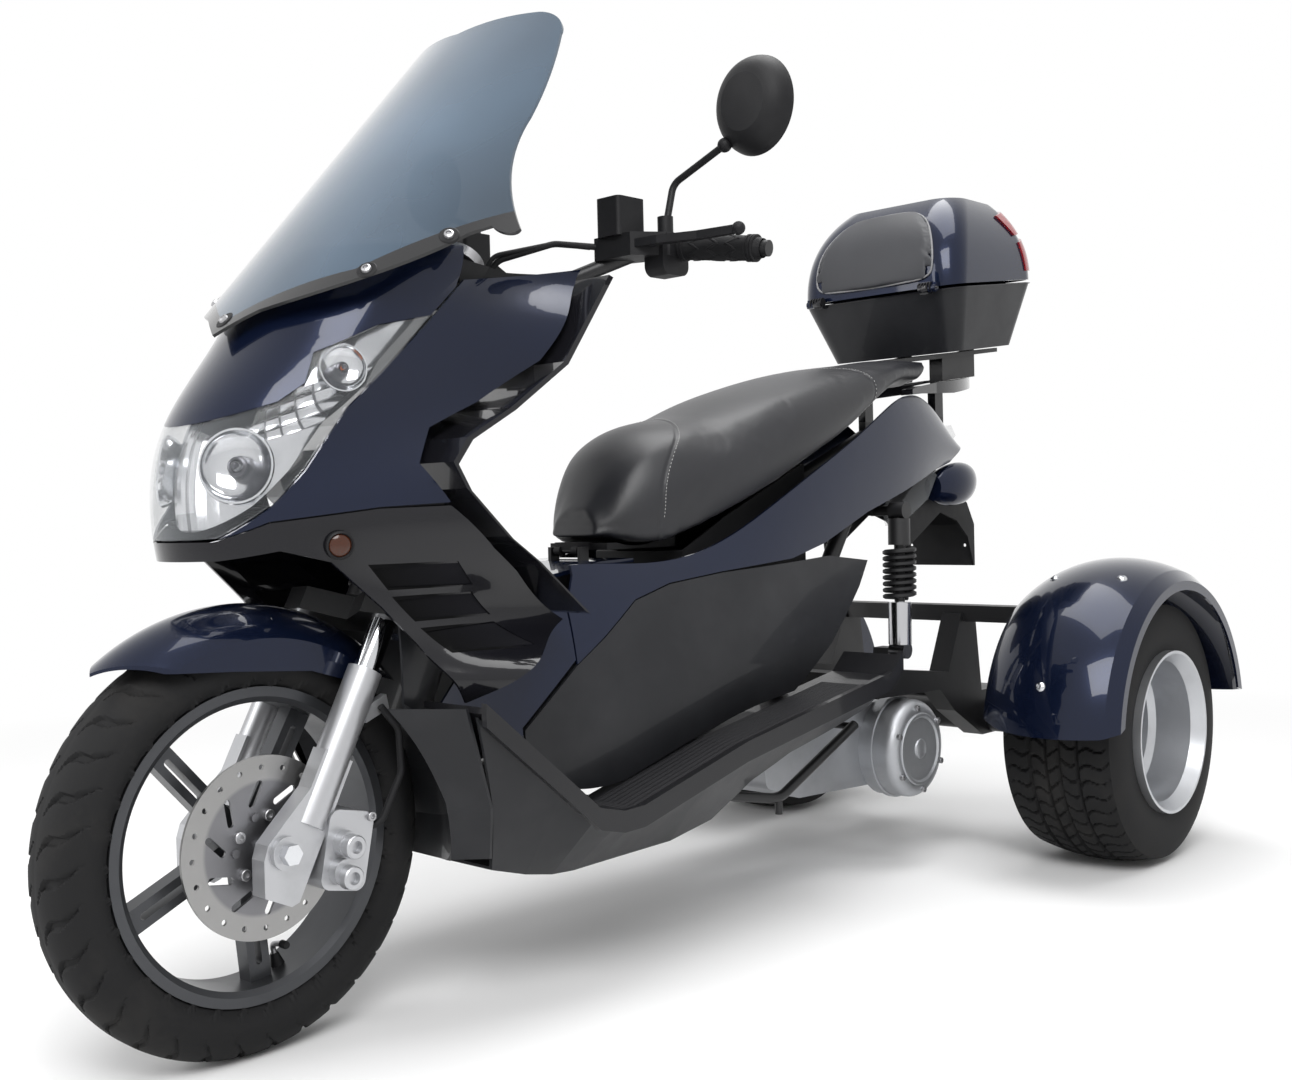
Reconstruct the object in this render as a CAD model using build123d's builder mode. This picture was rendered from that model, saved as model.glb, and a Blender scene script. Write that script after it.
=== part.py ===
from build123d import *
from math import cos, pi, radians, sin
import os

os.makedirs("parts", exist_ok=True)

# ---------------------------------------------------------------- driving sizes (mm)
# +X is forward, +Y is the rider's left, +Z is up, the floor is Z = 0.
wheelbase = 1577.0
front_tyre_r, front_tyre_w = 258.0, 102.0
front_rim_r, front_rim_w = 191.0, 80.0
front_bead_r = 179.0
rear_tyre_r, rear_tyre_w = 236.0, 207.0
rear_rim_r, rear_rim_w = 142.0, 227.0
rear_bead_r = 131.0
rear_track = 765.0
rim_wall = 7.0
fender_gap, fender_wall = 59.0, 4.0

rake = 28.0
fork_offset = 43.0
fork_half_span, fork_leg_r, fork_tube_r = 86.0, 22.0, 16.0
leg_line = 20.0
steerer_r, head_tube_bore_r, head_tube_r = 14.0, 14.05, 27.0
axle_r = 7.5

disc_r, disc_y, disc_t = 110.0, 52.0, 4.0
skin = 4.0
gap = 5.0

# ---------------------------------------------------------------- datums
fender_r = rear_tyre_r + fender_gap + fender_wall
rear_x = -(wheelbase + front_tyre_r - fender_r) / 2
front_x = rear_x + wheelbase
SIN, COS = sin(radians(rake)), cos(radians(rake))
steer_foot = Vector(front_x - fork_offset * COS, 0, front_tyre_r - fork_offset * SIN)
STEER = Plane(origin=steer_foot, x_dir=(COS, 0, SIN), z_dir=(-SIN, 0, COS))


def rear_side(y=0.0):
    """Side view plane at y: local x is the distance ahead of the rear axle, local y the height."""
    return Plane(origin=(rear_x, y, 0), x_dir=(1, 0, 0), z_dir=(0, -1, 0))


def front_side(y=0.0):
    """Side view plane at y: local x is the distance ahead of the front axle, local y the height."""
    return Plane(origin=(front_x, y, 0), x_dir=(1, 0, 0), z_dir=(0, -1, 0))


def steer_side(y=0.0):
    """Side view plane at y, turned with the fork: local y runs up the steering axis."""
    return Plane(origin=steer_foot + Vector(0, y, 0), x_dir=(COS, 0, SIN), z_dir=(0, -1, 0))


def cross(x):
    """Plane across the vehicle at x: local x is to the left, local y is up."""
    return Plane(origin=(x, 0, 0), x_dir=(0, 1, 0), z_dir=(1, 0, 0))


def level(z, x=rear_x):
    """Horizontal plane at height z with its origin at x."""
    return Plane(origin=(x, 0, z), x_dir=(1, 0, 0), z_dir=(0, 0, 1))


def from_front(x, y, z):
    """Point given by its distance ahead of the front axle."""
    return Vector(front_x + x, y, z)


def from_rear(x, y, z):
    """Point given by its distance ahead of the rear axle."""
    return Vector(rear_x + x, y, z)


def polygon(points):
    """Closed straight-sided face in the sketch that is being built."""
    Polygon(*points, align=None)


def tube(points, bend, radius):
    """Round bar along a bent route."""
    with BuildPart(mode=Mode.PRIVATE) as bar:
        with BuildLine() as route:
            FilletPolyline(*points, radius=bend) if len(points) > 2 else Line(*points)
        with BuildSketch(Plane(origin=route.line @ 0, z_dir=route.line % 0)):
            Circle(radius)
        sweep()
    return bar.part


def flip(points):
    """The same route on the other side of the vehicle."""
    return [Vector(p.X, -p.Y, p.Z) for p in points]


pieces = []


def keep(piece, name):
    """Label a finished piece and write its STEP file."""
    piece.part.label = name
    export_step(piece.part, f"parts/{name}.step")
    pieces.append(name)


# ---------------------------------------------------------------- front wheel
front_wheel_axis = Axis(from_front(0, 0, front_tyre_r), (0, 1, 0))

with BuildPart() as front_tyre:
    with BuildSketch(cross(front_x)):
        with BuildLine():
            half, bead = front_tyre_w / 2, front_rim_w / 2 - 6
            r = front_tyre_r
            Polyline((-bead, r + front_rim_r), (-bead, r + front_bead_r), (bead, r + front_bead_r),
                     (bead, r + front_rim_r))
            ThreePointArc((bead, r + front_rim_r), (half, r + 214), (half - 4, r + 230))
            ThreePointArc((half - 4, r + 230), (half * 0.66, r + 248), (0, 2 * r))
            ThreePointArc((0, 2 * r), (-half * 0.66, r + 248), (4 - half, r + 230))
            ThreePointArc((4 - half, r + 230), (-half, r + 214), (-bead, r + front_rim_r))
        make_face()
    revolve(axis=front_wheel_axis)
keep(front_tyre, "front_tyre")

spokes = 5
front_hub_r, front_hub_half = 30.0, 44.0
spoke_w, spoke_t, spoke_slot = 30.0, 24.0, 9.0
first_spoke = 48.0

with BuildPart() as front_rim:
    with BuildSketch(cross(front_x)):
        edge, r = front_rim_w / 2, front_tyre_r
        polygon([
            (-edge, r + front_rim_r), (6 - edge, r + front_rim_r), (6 - edge, r + front_bead_r),
            (edge - 6, r + front_bead_r), (edge - 6, r + front_rim_r), (edge, r + front_rim_r),
            (edge, r + front_bead_r), (edge - 5, r + front_bead_r - rim_wall),
            (5 - edge, r + front_bead_r - rim_wall), (-edge, r + front_bead_r),
        ])
    revolve(axis=front_wheel_axis)
    with BuildSketch(front_side(-front_hub_half)) as hub_face:
        with Locations((0, front_tyre_r)):
            Circle(front_hub_r)
            Circle(axle_r + 0.5, mode=Mode.SUBTRACT)
    extrude(amount=-2 * front_hub_half)
    with BuildSketch(front_side()):
        with Locations((0, front_tyre_r)):
            with PolarLocations(front_hub_r - 4, spokes, start_angle=first_spoke):
                with Locations(((front_bead_r - rim_wall - front_hub_r + 6) / 2, 0)):
                    Rectangle(front_bead_r - rim_wall - front_hub_r + 6, spoke_w)
                with Locations(((front_bead_r - rim_wall - front_hub_r) * 0.62, 0)):
                    SlotOverall(78, spoke_slot, mode=Mode.SUBTRACT)
    extrude(amount=spoke_t / 2, both=True)
keep(front_rim, "front_rim")

swirl_slots, disc_holes = 10, 20
with BuildPart() as front_disc:
    with BuildSketch(front_side(disc_y + disc_t / 2)):
        with Locations((0, front_tyre_r)):
            Circle(disc_r)
            Circle(axle_r + 0.5, mode=Mode.SUBTRACT)
            with PolarLocations(66, swirl_slots, start_angle=10):
                with Locations(Location((0, 0), 35)):
                    SlotOverall(34, 9, mode=Mode.SUBTRACT)
            with PolarLocations(96, disc_holes):
                Circle(3.5, mode=Mode.SUBTRACT)
    extrude(amount=disc_t)
    with BuildSketch(front_side(disc_y - disc_t / 2)):
        with Locations((0, front_tyre_r)):
            Circle(front_hub_r)
            Circle(axle_r + 0.5, mode=Mode.SUBTRACT)
    extrude(amount=disc_y - disc_t / 2 - front_hub_half)
    with BuildSketch(front_side(disc_y + disc_t / 2)):
        with Locations((0, front_tyre_r)):
            with PolarLocations(40, 5):
                Circle(5)
    extrude(amount=-4)
keep(front_disc, "front_disc")

# ---------------------------------------------------------------- rear wheels
rear_wheel_axis = Axis(from_rear(0, 0, rear_tyre_r), (0, 1, 0))
wheel_y = rear_track / 2
dish_y = wheel_y - 20
hub_r, hub_in_y, stub_r = 38.0, 286.0, 12.0

with BuildPart() as rear_tyre_left:
    with BuildSketch(cross(rear_x)):
        with BuildLine():
            half, bead, r = rear_tyre_w / 2, rear_rim_w / 2 - 14, rear_tyre_r
            Line((wheel_y - bead, r + rear_bead_r), (wheel_y + bead, r + rear_bead_r))
            Line((wheel_y + bead, r + rear_bead_r), (wheel_y + bead, r + rear_rim_r))
            ThreePointArc((wheel_y + bead, r + rear_rim_r), (wheel_y + half, r + 180),
                          (wheel_y + half - 9, r + 222))
            ThreePointArc((wheel_y + half - 9, r + 222), (wheel_y, 2 * r), (wheel_y - half + 9, r + 222))
            ThreePointArc((wheel_y - half + 9, r + 222), (wheel_y - half, r + 180),
                          (wheel_y - bead, r + rear_rim_r))
            Line((wheel_y - bead, r + rear_rim_r), (wheel_y - bead, r + rear_bead_r))
        make_face()
    revolve(axis=rear_wheel_axis)
keep(rear_tyre_left, "rear_tyre_left")

with BuildPart() as rear_tyre_right:
    add(rear_tyre_left.part.mirror(Plane.XZ))
keep(rear_tyre_right, "rear_tyre_right")

with BuildPart() as rear_rim_left:
    with BuildSketch(cross(rear_x)):
        edge, bead, r = rear_rim_w / 2, rear_rim_w / 2 - 14, rear_tyre_r
        polygon([
            (wheel_y - edge, r + rear_rim_r), (wheel_y - bead, r + rear_rim_r),
            (wheel_y - bead, r + rear_bead_r), (wheel_y + bead, r + rear_bead_r),
            (wheel_y + bead, r + rear_rim_r), (wheel_y + edge, r + rear_rim_r),
            (wheel_y + edge, r + rear_rim_r - 5), (wheel_y + edge - 22, r + rear_bead_r - rim_wall),
            (wheel_y + 30, r + rear_bead_r - rim_wall - 3), (wheel_y + 20, r + rear_bead_r - 22),
            (dish_y + 12, r + rear_bead_r - 24), (dish_y + 4, r + 60), (dish_y + 4, r),
            (dish_y - 4, r), (dish_y - 4, r + rear_bead_r - 30), (wheel_y - bead, r + rear_bead_r - rim_wall),
            (wheel_y - edge, r + rear_rim_r - 5),
        ])
    revolve(axis=rear_wheel_axis)
    with BuildSketch(rear_side(dish_y + 16)):
        with Locations((0, rear_tyre_r)):
            Circle(hub_r)
    extrude(amount=dish_y + 16 - hub_in_y)
    with BuildSketch(rear_side(hub_in_y)):
        with Locations((0, rear_tyre_r)):
            Circle(stub_r)
    extrude(amount=40)
    with BuildSketch(rear_side(dish_y + 4)):
        with Locations((0, rear_tyre_r)):
            with PolarLocations(55, 4, start_angle=45):
                Circle(8)
    extrude(amount=-10)
keep(rear_rim_left, "rear_rim_left")

with BuildPart() as rear_rim_right:
    add(rear_rim_left.part.mirror(Plane.XZ))
keep(rear_rim_right, "rear_rim_right")

# ---------------------------------------------------------------- rear fenders
fender_in_y, fender_out_y = 268.0, 516.0
fender_in_r = rear_tyre_r + fender_gap
with BuildPart() as rear_fender_left:
    with BuildSketch(cross(rear_x)):
        r = rear_tyre_r
        with BuildLine():
            Line((fender_in_y, r + 150), (fender_in_y, r + fender_in_r - 40))
            ThreePointArc((fender_in_y, r + fender_in_r - 40), (wheel_y - 30, r + fender_r),
                          (fender_out_y - 20, r + fender_in_r - 12))
            Line((fender_out_y - 20, r + fender_in_r - 12), (fender_out_y, r + fender_in_r - 30))
            Line((fender_out_y, r + fender_in_r - 30), (fender_out_y, r + fender_in_r - 46))
            Line((fender_out_y, r + fender_in_r - 46), (fender_out_y - fender_wall, r + fender_in_r - 46))
            Line((fender_out_y - fender_wall, r + fender_in_r - 46),
                 (fender_out_y - fender_wall, r + fender_in_r - 32))
            Line((fender_out_y - fender_wall, r + fender_in_r - 32),
                 (fender_out_y - 22, r + fender_in_r - 16))
            ThreePointArc((fender_out_y - 22, r + fender_in_r - 16), (wheel_y - 30, r + fender_in_r),
                          (fender_in_y + fender_wall, r + fender_in_r - 42))
            Line((fender_in_y + fender_wall, r + fender_in_r - 42), (fender_in_y + fender_wall, r + 150))
            Line((fender_in_y + fender_wall, r + 150), (fender_in_y, r + 150))
        make_face()
    revolve(axis=rear_wheel_axis)
    with BuildSketch(rear_side()):
        polygon([(-400, 250), (-200, 300), (180, 300), (285, 258), (400, 240), (400, -200), (-400, -200)])
    extrude(amount=700, both=True, mode=Mode.SUBTRACT)
keep(rear_fender_left, "rear_fender_left")

with BuildPart() as rear_fender_right:
    add(rear_fender_left.part.mirror(Plane.XZ))
keep(rear_fender_right, "rear_fender_right")

# ---------------------------------------------------------------- steering: fork
leg_top, tube_top = 240.0, 336.0
with BuildPart() as fork_lowers:
    for side in (-1, 1):
        with BuildSketch(STEER.offset(40)):
            with Locations((leg_line, side * fork_half_span)):
                Circle(fork_leg_r)
        extrude(amount=leg_top - 40)
        with BuildSketch(steer_side(side * fork_half_span)):
            polygon([(-2, 130), (-2, -46), (6, -54), (46, -56), (66, -18), (69, 0), (60, 28), (42, 80),
                     (42, 130)])
        extrude(amount=13, both=True)
        with BuildSketch(front_side(side * fork_half_span)):
            with Locations((0, front_tyre_r)):
                Circle(20)
        extrude(amount=19, both=True)
    with BuildSketch(front_side(fork_half_span + 14)):
        polygon([(-158, 410), (-122, 396), (-118, 414), (-154, 428)])
    extrude(amount=12)
    with BuildSketch(front_side()):
        with Locations((0, front_tyre_r)):
            Circle(axle_r + 0.05)
    extrude(amount=fork_half_span + 60, both=True, mode=Mode.SUBTRACT)
    for side in (-1, 1):
        with BuildSketch(STEER.offset(leg_top - 60)):
            with Locations((leg_line, side * fork_half_span)):
                Circle(fork_tube_r + 0.05)
        extrude(amount=60, mode=Mode.SUBTRACT)
keep(fork_lowers, "fork_lowers")

with BuildPart() as fork_tubes:
    for side in (-1, 1):
        with BuildSketch(STEER.offset(leg_top - 60)):
            with Locations((leg_line, side * fork_half_span)):
                Circle(fork_tube_r)
        extrude(amount=tube_top - leg_top + 60)
keep(fork_tubes, "fork_tubes")

clamp_low, clamp_high = 308.0, 340.0
head_low, head_high = 356.0, 590.0
bar_u, bar_v = 832.0, -38.0
with BuildPart() as steering_stem:
    with BuildSketch(STEER.offset(clamp_low)):
        with BuildLine():
            Polyline((-24, -fork_half_span - 8), (-28, 0), (-24, fork_half_span + 8),
                     (leg_line + 20, fork_half_span + 24),
                     (leg_line + 26, fork_half_span - 20), (14, 0), (leg_line + 26, 20 - fork_half_span),
                     (leg_line + 20, -fork_half_span - 24), close=True)
        make_face()
        for side in (-1, 1):
            with Locations((leg_line, side * fork_half_span)):
                Circle(fork_tube_r, mode=Mode.SUBTRACT)
    extrude(amount=clamp_high - clamp_low)
    with BuildSketch(STEER.offset(clamp_high)):
        Circle(24)
    extrude(amount=head_low - clamp_high - 1)
    with BuildSketch(STEER.offset(clamp_low)):
        Circle(steerer_r)
    extrude(amount=bar_u + 4 - clamp_low)
    with BuildSketch(STEER.offset(head_high + 1)):
        Circle(22)
    extrude(amount=24)
    with BuildSketch(STEER.offset(bar_u - 20)):
        with Locations((bar_v / 2, 0)):
            Rectangle(abs(bar_v) + 32, 60)
    extrude(amount=40)
    with BuildSketch(steer_side()):
        with Locations((bar_v, bar_u)):
            Circle(11)
    extrude(amount=60, both=True, mode=Mode.SUBTRACT)
keep(steering_stem, "steering_stem")

bar_r, grip_r = 11.0, 17.0
bar_centre = steer_foot + Vector(bar_v * COS - bar_u * SIN, 0, bar_v * SIN + bar_u * COS)
grip_in = from_front(-590, 232, 1010)
grip_out = from_front(-607, 346, 994.5)
grip_dir = (grip_out - grip_in).normalized()
bar_tip = grip_out + grip_dir * 18
bar_bend_in = bar_centre + Vector(0, 62, 0)
bar_bend_out = grip_in - grip_dir * 56
bar = tube([bar_tip, bar_bend_out, bar_bend_in, *flip([bar_bend_in, bar_bend_out, bar_tip])], 40, bar_r)
with BuildPart() as handlebar:
    add(bar)
keep(handlebar, "handlebar")

with BuildPart() as grips:
    for start, way in ((grip_in, grip_dir), flip([grip_in, grip_dir])):
        with BuildSketch(Plane(origin=start, z_dir=way)):
            Circle(grip_r)
            Circle(bar_r, mode=Mode.SUBTRACT)
        extrude(amount=(grip_out - grip_in).length)
        with BuildSketch(Plane(origin=start + way * (grip_out - grip_in).length, z_dir=way)):
            Circle(grip_r - 2)
            Circle(bar_r, mode=Mode.SUBTRACT)
        extrude(amount=18, taper=12)
keep(grips, "grips")

# levers, perches, reservoirs and switch blocks of both sides
perch_top = 1030.0
with BuildPart() as controls:
    for side in (1, -1):
        with BuildSketch(front_side(side * 226)):
            with Locations((-580, 1001)):
                RectangleRounded(54, 58, 14)
        extrude(amount=side * 34)
        with BuildSketch(level(perch_top - 2, front_x)):
            with Locations((-541, side * 160)):
                RectangleRounded(56, 44, 7)
        extrude(amount=54)
        with BuildSketch(level(perch_top, front_x)):
            with BuildLine():
                Polyline((-520, side * 128), (-520, side * 196), (-566, side * 228), (-590, side * 228),
                         (-590, side * 196), (-566, side * 128), close=True)
            make_face()
        extrude(amount=-32)
        with BuildSketch(level(1020, front_x)):
            with BuildLine():
                Polyline((-524, side * 190), (-528, side * 236), (-548, side * 290), (-556, side * 345),
                         (-566, side * 345), (-562, side * 290), (-546, side * 232), (-546, side * 190),
                         close=True)
            make_face()
        extrude(amount=-11)
        with Locations(from_front(-561, side * 351, 1015)):
            Sphere(9)
    add(bar, mode=Mode.SUBTRACT)
keep(controls, "controls")

# mirrors
mirror_w, mirror_h, mirror_t = 122.0, 134.0, 34.0
mirror_mid = from_front(-628, 335, 1190)
mirror_foot, mirror_knee = from_front(-584, 205, perch_top + 8), from_front(-603, 205, 1104)
mirror_ball = from_front(-608, 294, 1142)
with BuildPart() as mirrors:
    for side in (1, -1):
        mid = Vector(mirror_mid.X, side * mirror_mid.Y, mirror_mid.Z)
        face = Plane(origin=mid, x_dir=(0, 1, 0), z_dir=(-1, 0, 0))
        with BuildPart(mode=Mode.PRIVATE) as shell:
            for depth, share in ((0, 1), (mirror_t * 0.55, 0.9), (mirror_t, 0.58)):
                with BuildSketch(face.offset(-depth)):
                    Ellipse(mirror_w / 2 * share, mirror_h / 2 * share)
            loft()
        add(shell.part)
        route = [mirror_foot, mirror_knee, mirror_ball]
        add(tube(route if side > 0 else flip(route), 18, 5))
        with Locations(Vector(mirror_ball.X, side * mirror_ball.Y, mirror_ball.Z)):
            Sphere(10)
        with BuildSketch(level(perch_top, front_x)):
            with Locations((mirror_foot.X - front_x, side * mirror_foot.Y)):
                Circle(11)
        extrude(amount=26)
keep(mirrors, "mirrors")

with BuildPart() as mirror_glass:
    for side in (1, -1):
        mid = Vector(mirror_mid.X, side * mirror_mid.Y, mirror_mid.Z)
        with BuildSketch(Plane(origin=mid, x_dir=(0, 1, 0), z_dir=(-1, 0, 0))):
            Ellipse(mirror_w / 2 - 5, mirror_h / 2 - 5)
        extrude(amount=2)
keep(mirror_glass, "mirror_glass")

# front axle with its nuts
with BuildPart() as front_axle:
    with BuildSketch(front_side(fork_half_span + 26)):
        with Locations((0, front_tyre_r)):
            Circle(axle_r)
    extrude(amount=2 * fork_half_span + 52)
    for side in (1, -1):
        with BuildSketch(front_side(side * (fork_half_span + 19))):
            with Locations((0, front_tyre_r)):
                RegularPolygon(13, 6)
        extrude(amount=-side * 12)
    for side in (1, -1):
        with BuildSketch(front_side(side * (fork_half_span - 19))):
            with Locations((0, front_tyre_r)):
                Circle(11)
        extrude(amount=side * (fork_half_span - 19 - front_hub_half - 11))
keep(front_axle, "front_axle")

# front mudguard
mudguard_r, guard_half = 290.0, 63.0
with BuildPart() as front_fender:
    with BuildSketch(cross(front_x)):
        r = front_tyre_r
        with BuildLine():
            Line((-guard_half, r + 200), (-guard_half, r + 250))
            ThreePointArc((-guard_half, r + 250), (0, r + mudguard_r), (guard_half, r + 250))
            Line((guard_half, r + 250), (guard_half, r + 200))
            Line((guard_half, r + 200), (guard_half - 3, r + 200))
            Line((guard_half - 3, r + 200), (guard_half - 3, r + 249))
            ThreePointArc((guard_half - 3, r + 249), (0, r + mudguard_r - 3), (3 - guard_half, r + 249))
            Line((3 - guard_half, r + 249), (3 - guard_half, r + 200))
            Line((3 - guard_half, r + 200), (-guard_half, r + 200))
        make_face()
    revolve(axis=front_wheel_axis)
    with BuildSketch(front_side(100)):
        r = front_tyre_r
        with BuildLine():
            Polyline((178, r + 219), (130, r + 220), (35, r + 214), (-70, r + 205), (-117, r + 190),
                     (-180, r + 186), (-218, r + 176), (-300, r + 180), (-300, r + 400), (300, r + 400),
                     (300, r + 219),
                     close=True)
        make_face()
    extrude(amount=200, mode=Mode.INTERSECT)
    with BuildSketch(level(300, front_x)):
        with BuildLine():
            Line((-400, 70), (60, 70))
            ThreePointArc((60, 70), (140, 50), (186, 0))
            ThreePointArc((186, 0), (140, -50), (60, -70))
            Line((60, -70), (-400, -70))
            Line((-400, -70), (-400, 70))
        make_face()
    extrude(amount=400, mode=Mode.INTERSECT)
keep(front_fender, "front_fender")

# brake caliper, behind the left leg
with BuildPart() as front_caliper:
    with BuildSketch(front_side(104)):
        with Locations(Location((-86, front_tyre_r - 12), 12)):
            RectangleRounded(66, 96, 14)
    extrude(amount=70)
    with BuildSketch(front_side(disc_y + disc_t / 2 + gap)):
        with Locations((0, front_tyre_r)):
            Circle(disc_r + gap)
    extrude(amount=disc_t + 2 * gap, mode=Mode.SUBTRACT)
    with BuildSketch(front_side(104)):
        with Locations((-72, front_tyre_r - 34), (-80, front_tyre_r - 2)):
            Circle(16)
    extrude(amount=-14)
    add(fork_lowers.part, mode=Mode.SUBTRACT)
keep(front_caliper, "front_caliper")

# brake hose beside the left leg, and the hose and cables from the bar down beside the stem
hose_r, cable_r = 4.5, 3.5


def at_stem(v, y, u):
    """Point beside the steering axis: ahead of it, to the left, and up along it."""
    return STEER.from_local_coords(Vector(v, y, u))


with BuildPart() as brake_lines:
    add(tube([from_front(-140, fork_half_span + 20, 415), from_front(-166, fork_half_span + 22, 384),
              from_front(-168, fork_half_span + 22, 330), from_front(-138, fork_half_span + 18, 272),
              from_front(-104, fork_half_span + 4, 262)], 22, hose_r))
    for side in (1, -1):
        for shift, radius in ((0, hose_r), (11, cable_r)):
            add(tube([from_front(-528 + shift, side * (134 - shift), 1018), at_stem(-24, side * 84, 905),
                      at_stem(26 + shift, side * 44, 850), at_stem(36, side * (14 + shift), 760),
                      at_stem(36, side * (14 + shift), 640)], 26, radius))
    add(controls.part, mode=Mode.SUBTRACT)
    add(front_caliper.part, mode=Mode.SUBTRACT)
    add(fork_lowers.part, mode=Mode.SUBTRACT)
keep(brake_lines, "brake_lines")


# ---------------------------------------------------------------- front fairing skin
# One loft gives the whole nose; each panel below is the part of it inside the panel's side view.
back = -480.0
#          height  nose  shoulder x, y   back half width
nose_rows = [(405, -40, -200, 186, 208),
             (500, 30, -134, 164, 212),
             (600, 78, -20, 134, 232),
             (670, 86, 4, 126, 249),
             (757, 68, -57, 138, 246),
             (843, 10, -137, 152, 236),
             (905, -34, -190, 160, 216),
             (990, -116, -262, 166, 196)]


def nose_skin(inset, wall):
    """Shell of the nose: a U-shaped band lofted upward, set in from the outer face."""
    with BuildPart(mode=Mode.PRIVATE) as shell:
        for z, nose, sx, sy, half in nose_rows:
            with BuildSketch(level(z, front_x)):
                with BuildLine():
                    rings = []
                    for step in (inset, inset + wall):
                        a, b = (sx - step * 0.4, sy - step * 0.92), (back, half - step)
                        tip = ThreePointArc((a[0], -a[1]), (nose - step, 0), a)
                        TangentArc(a, b, tangent=tip % 1)
                        TangentArc((a[0], -a[1]), (b[0], -b[1]), tangent=(tip % 0) * -1)
                        rings.append(b)
                    (x0, y0), (x1, y1) = rings
                    Line((x0, y0), (x1, y1))
                    Line((x0, -y0), (x1, -y1))
                make_face()
        loft()
    return shell.part


outer_skin = nose_skin(0, skin)

# side-view outlines, from the front axle and the floor
lamp_low = [(140, 622), (63, 628), (20, 664), (-20, 706), (-77, 782), (-125, 826), (-192, 893)]
lamp_high = [(-192, 893), (-122, 878), (-84, 860), (-47, 843), (-30, 806), (0, 784), (66, 760), (140, 750)]
cowl_back = [(-448, 974), (-440, 955), (-351, 845), (-262, 790), (-188, 757), (-159, 712), (-186, 664)]
vent_front = [(120, 600), (60, 602), (10, 612), (-47, 597), (-112, 540), (-152, 494), (-206, 418)]
vent_back = [(-268, 452), (-385, 508), (-300, 575), (-252, 606), (-186, 660)]

with BuildPart() as headlight_lens:
    add(outer_skin)
    with BuildSketch(front_side(400)):
        polygon([*lamp_low, *lamp_high[1:]])
    extrude(amount=800, mode=Mode.INTERSECT)
keep(headlight_lens, "headlight_lens")

with BuildPart() as headlight_housing:
    add(nose_skin(30, skin))
    with BuildSketch(front_side(400)):
        polygon([*lamp_low, *lamp_high[1:]])
    extrude(amount=800, mode=Mode.INTERSECT)
keep(headlight_housing, "headlight_housing")

with BuildPart() as nose_mask:
    add(outer_skin)
    with BuildSketch(front_side(400)):
        polygon([(140, 751), (66, 761), (0, 785), (-30, 807), (-47, 844), (-84, 861), (-122, 879),
                 (-193, 894),
                 (-232, 932), (-244, 984), (140, 984)])
    extrude(amount=800, mode=Mode.INTERSECT)
keep(nose_mask, "nose_mask")

for name, low in (("front_cowl_left", 20), ("front_cowl_right", -420)):
    with BuildPart() as cowl:
        add(outer_skin)
        with BuildSketch(front_side(400)):
            polygon([(59, 628), (18, 662), (-22, 704), (-79, 780), (-127, 824), (-194, 889), (-234, 930),
                     (-246, 942),
                     *cowl_back, (-100, 660), (20, 646)])
        extrude(amount=800, mode=Mode.INTERSECT)
        with BuildSketch(level(300, front_x)):
            with Locations((-200, low + 200)):
                Rectangle(800, 400)
        extrude(amount=900, mode=Mode.INTERSECT)
    keep(cowl, name)

# three vents are pressed into each side of the panel
vents, vent_back_by, vent_drop, vent_depth = 3, 36.0, 40.0, 2.0
with BuildPart(mode=Mode.PRIVATE) as vent_recess:
    add(nose_skin(-1, vent_depth + 1))
    with BuildSketch(front_side(400)):
        for step in range(vents):
            polygon([(x - step * vent_back_by, z - step * vent_drop)
                     for x, z in ((-99, 587), (-208, 592), (-242, 561), (-122, 563))])
    extrude(amount=800, mode=Mode.INTERSECT)
with BuildPart() as front_panel:
    add(outer_skin)
    with BuildSketch(front_side(400)):
        polygon([*vent_front, *vent_back, (-100, 658), (20, 644), (64, 624), (120, 624)])
    extrude(amount=800, mode=Mode.INTERSECT)
    add(vent_recess.part, mode=Mode.SUBTRACT)
keep(front_panel, "front_panel")

# room for the stem and for the handlebar as it turns
stem_room_r = 50.0
with BuildPart(mode=Mode.PRIVATE) as sweep_room:
    with BuildSketch(steer_side()):
        Polygon((0, 200), (stem_room_r, 200), (stem_room_r, 770), (82, 796), (110, 828), (260, 940),
                (260, 1200),
                (0, 1200), align=None)
    revolve(axis=Axis(steer_foot, STEER.z_dir))
bar_sweep = sweep_room.part

# inner leg shield: follows the rear edge of the cowls and closes the nose towards the rider
shield_line = [(-456, 962), (-367, 842), (-272, 780), (-200, 742), (-176, 712), (-196, 680), (-262, 620),
               (-310, 588),
               (-396, 518)]
with BuildPart() as leg_shield:
    with BuildSketch(front_side(215)):
        with BuildLine():
            Polyline(*shield_line, *[(x - 8, z - 3) for x, z in reversed(shield_line)], close=True)
        make_face()
    extrude(amount=430)
    add(bar_sweep, mode=Mode.SUBTRACT)
keep(leg_shield, "leg_shield")

# dash: instrument cover between the cowl horns
with BuildPart() as dash:
    with BuildSketch(front_side(150)):
        polygon([(-250, 940), (-246, 972), (-330, 962), (-438, 968), (-436, 952), (-330, 930)])
    extrude(amount=300)
    add(nose_skin(-20, skin + 21), mode=Mode.SUBTRACT)
    add(bar_sweep, mode=Mode.SUBTRACT)
keep(dash, "dash")

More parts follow.
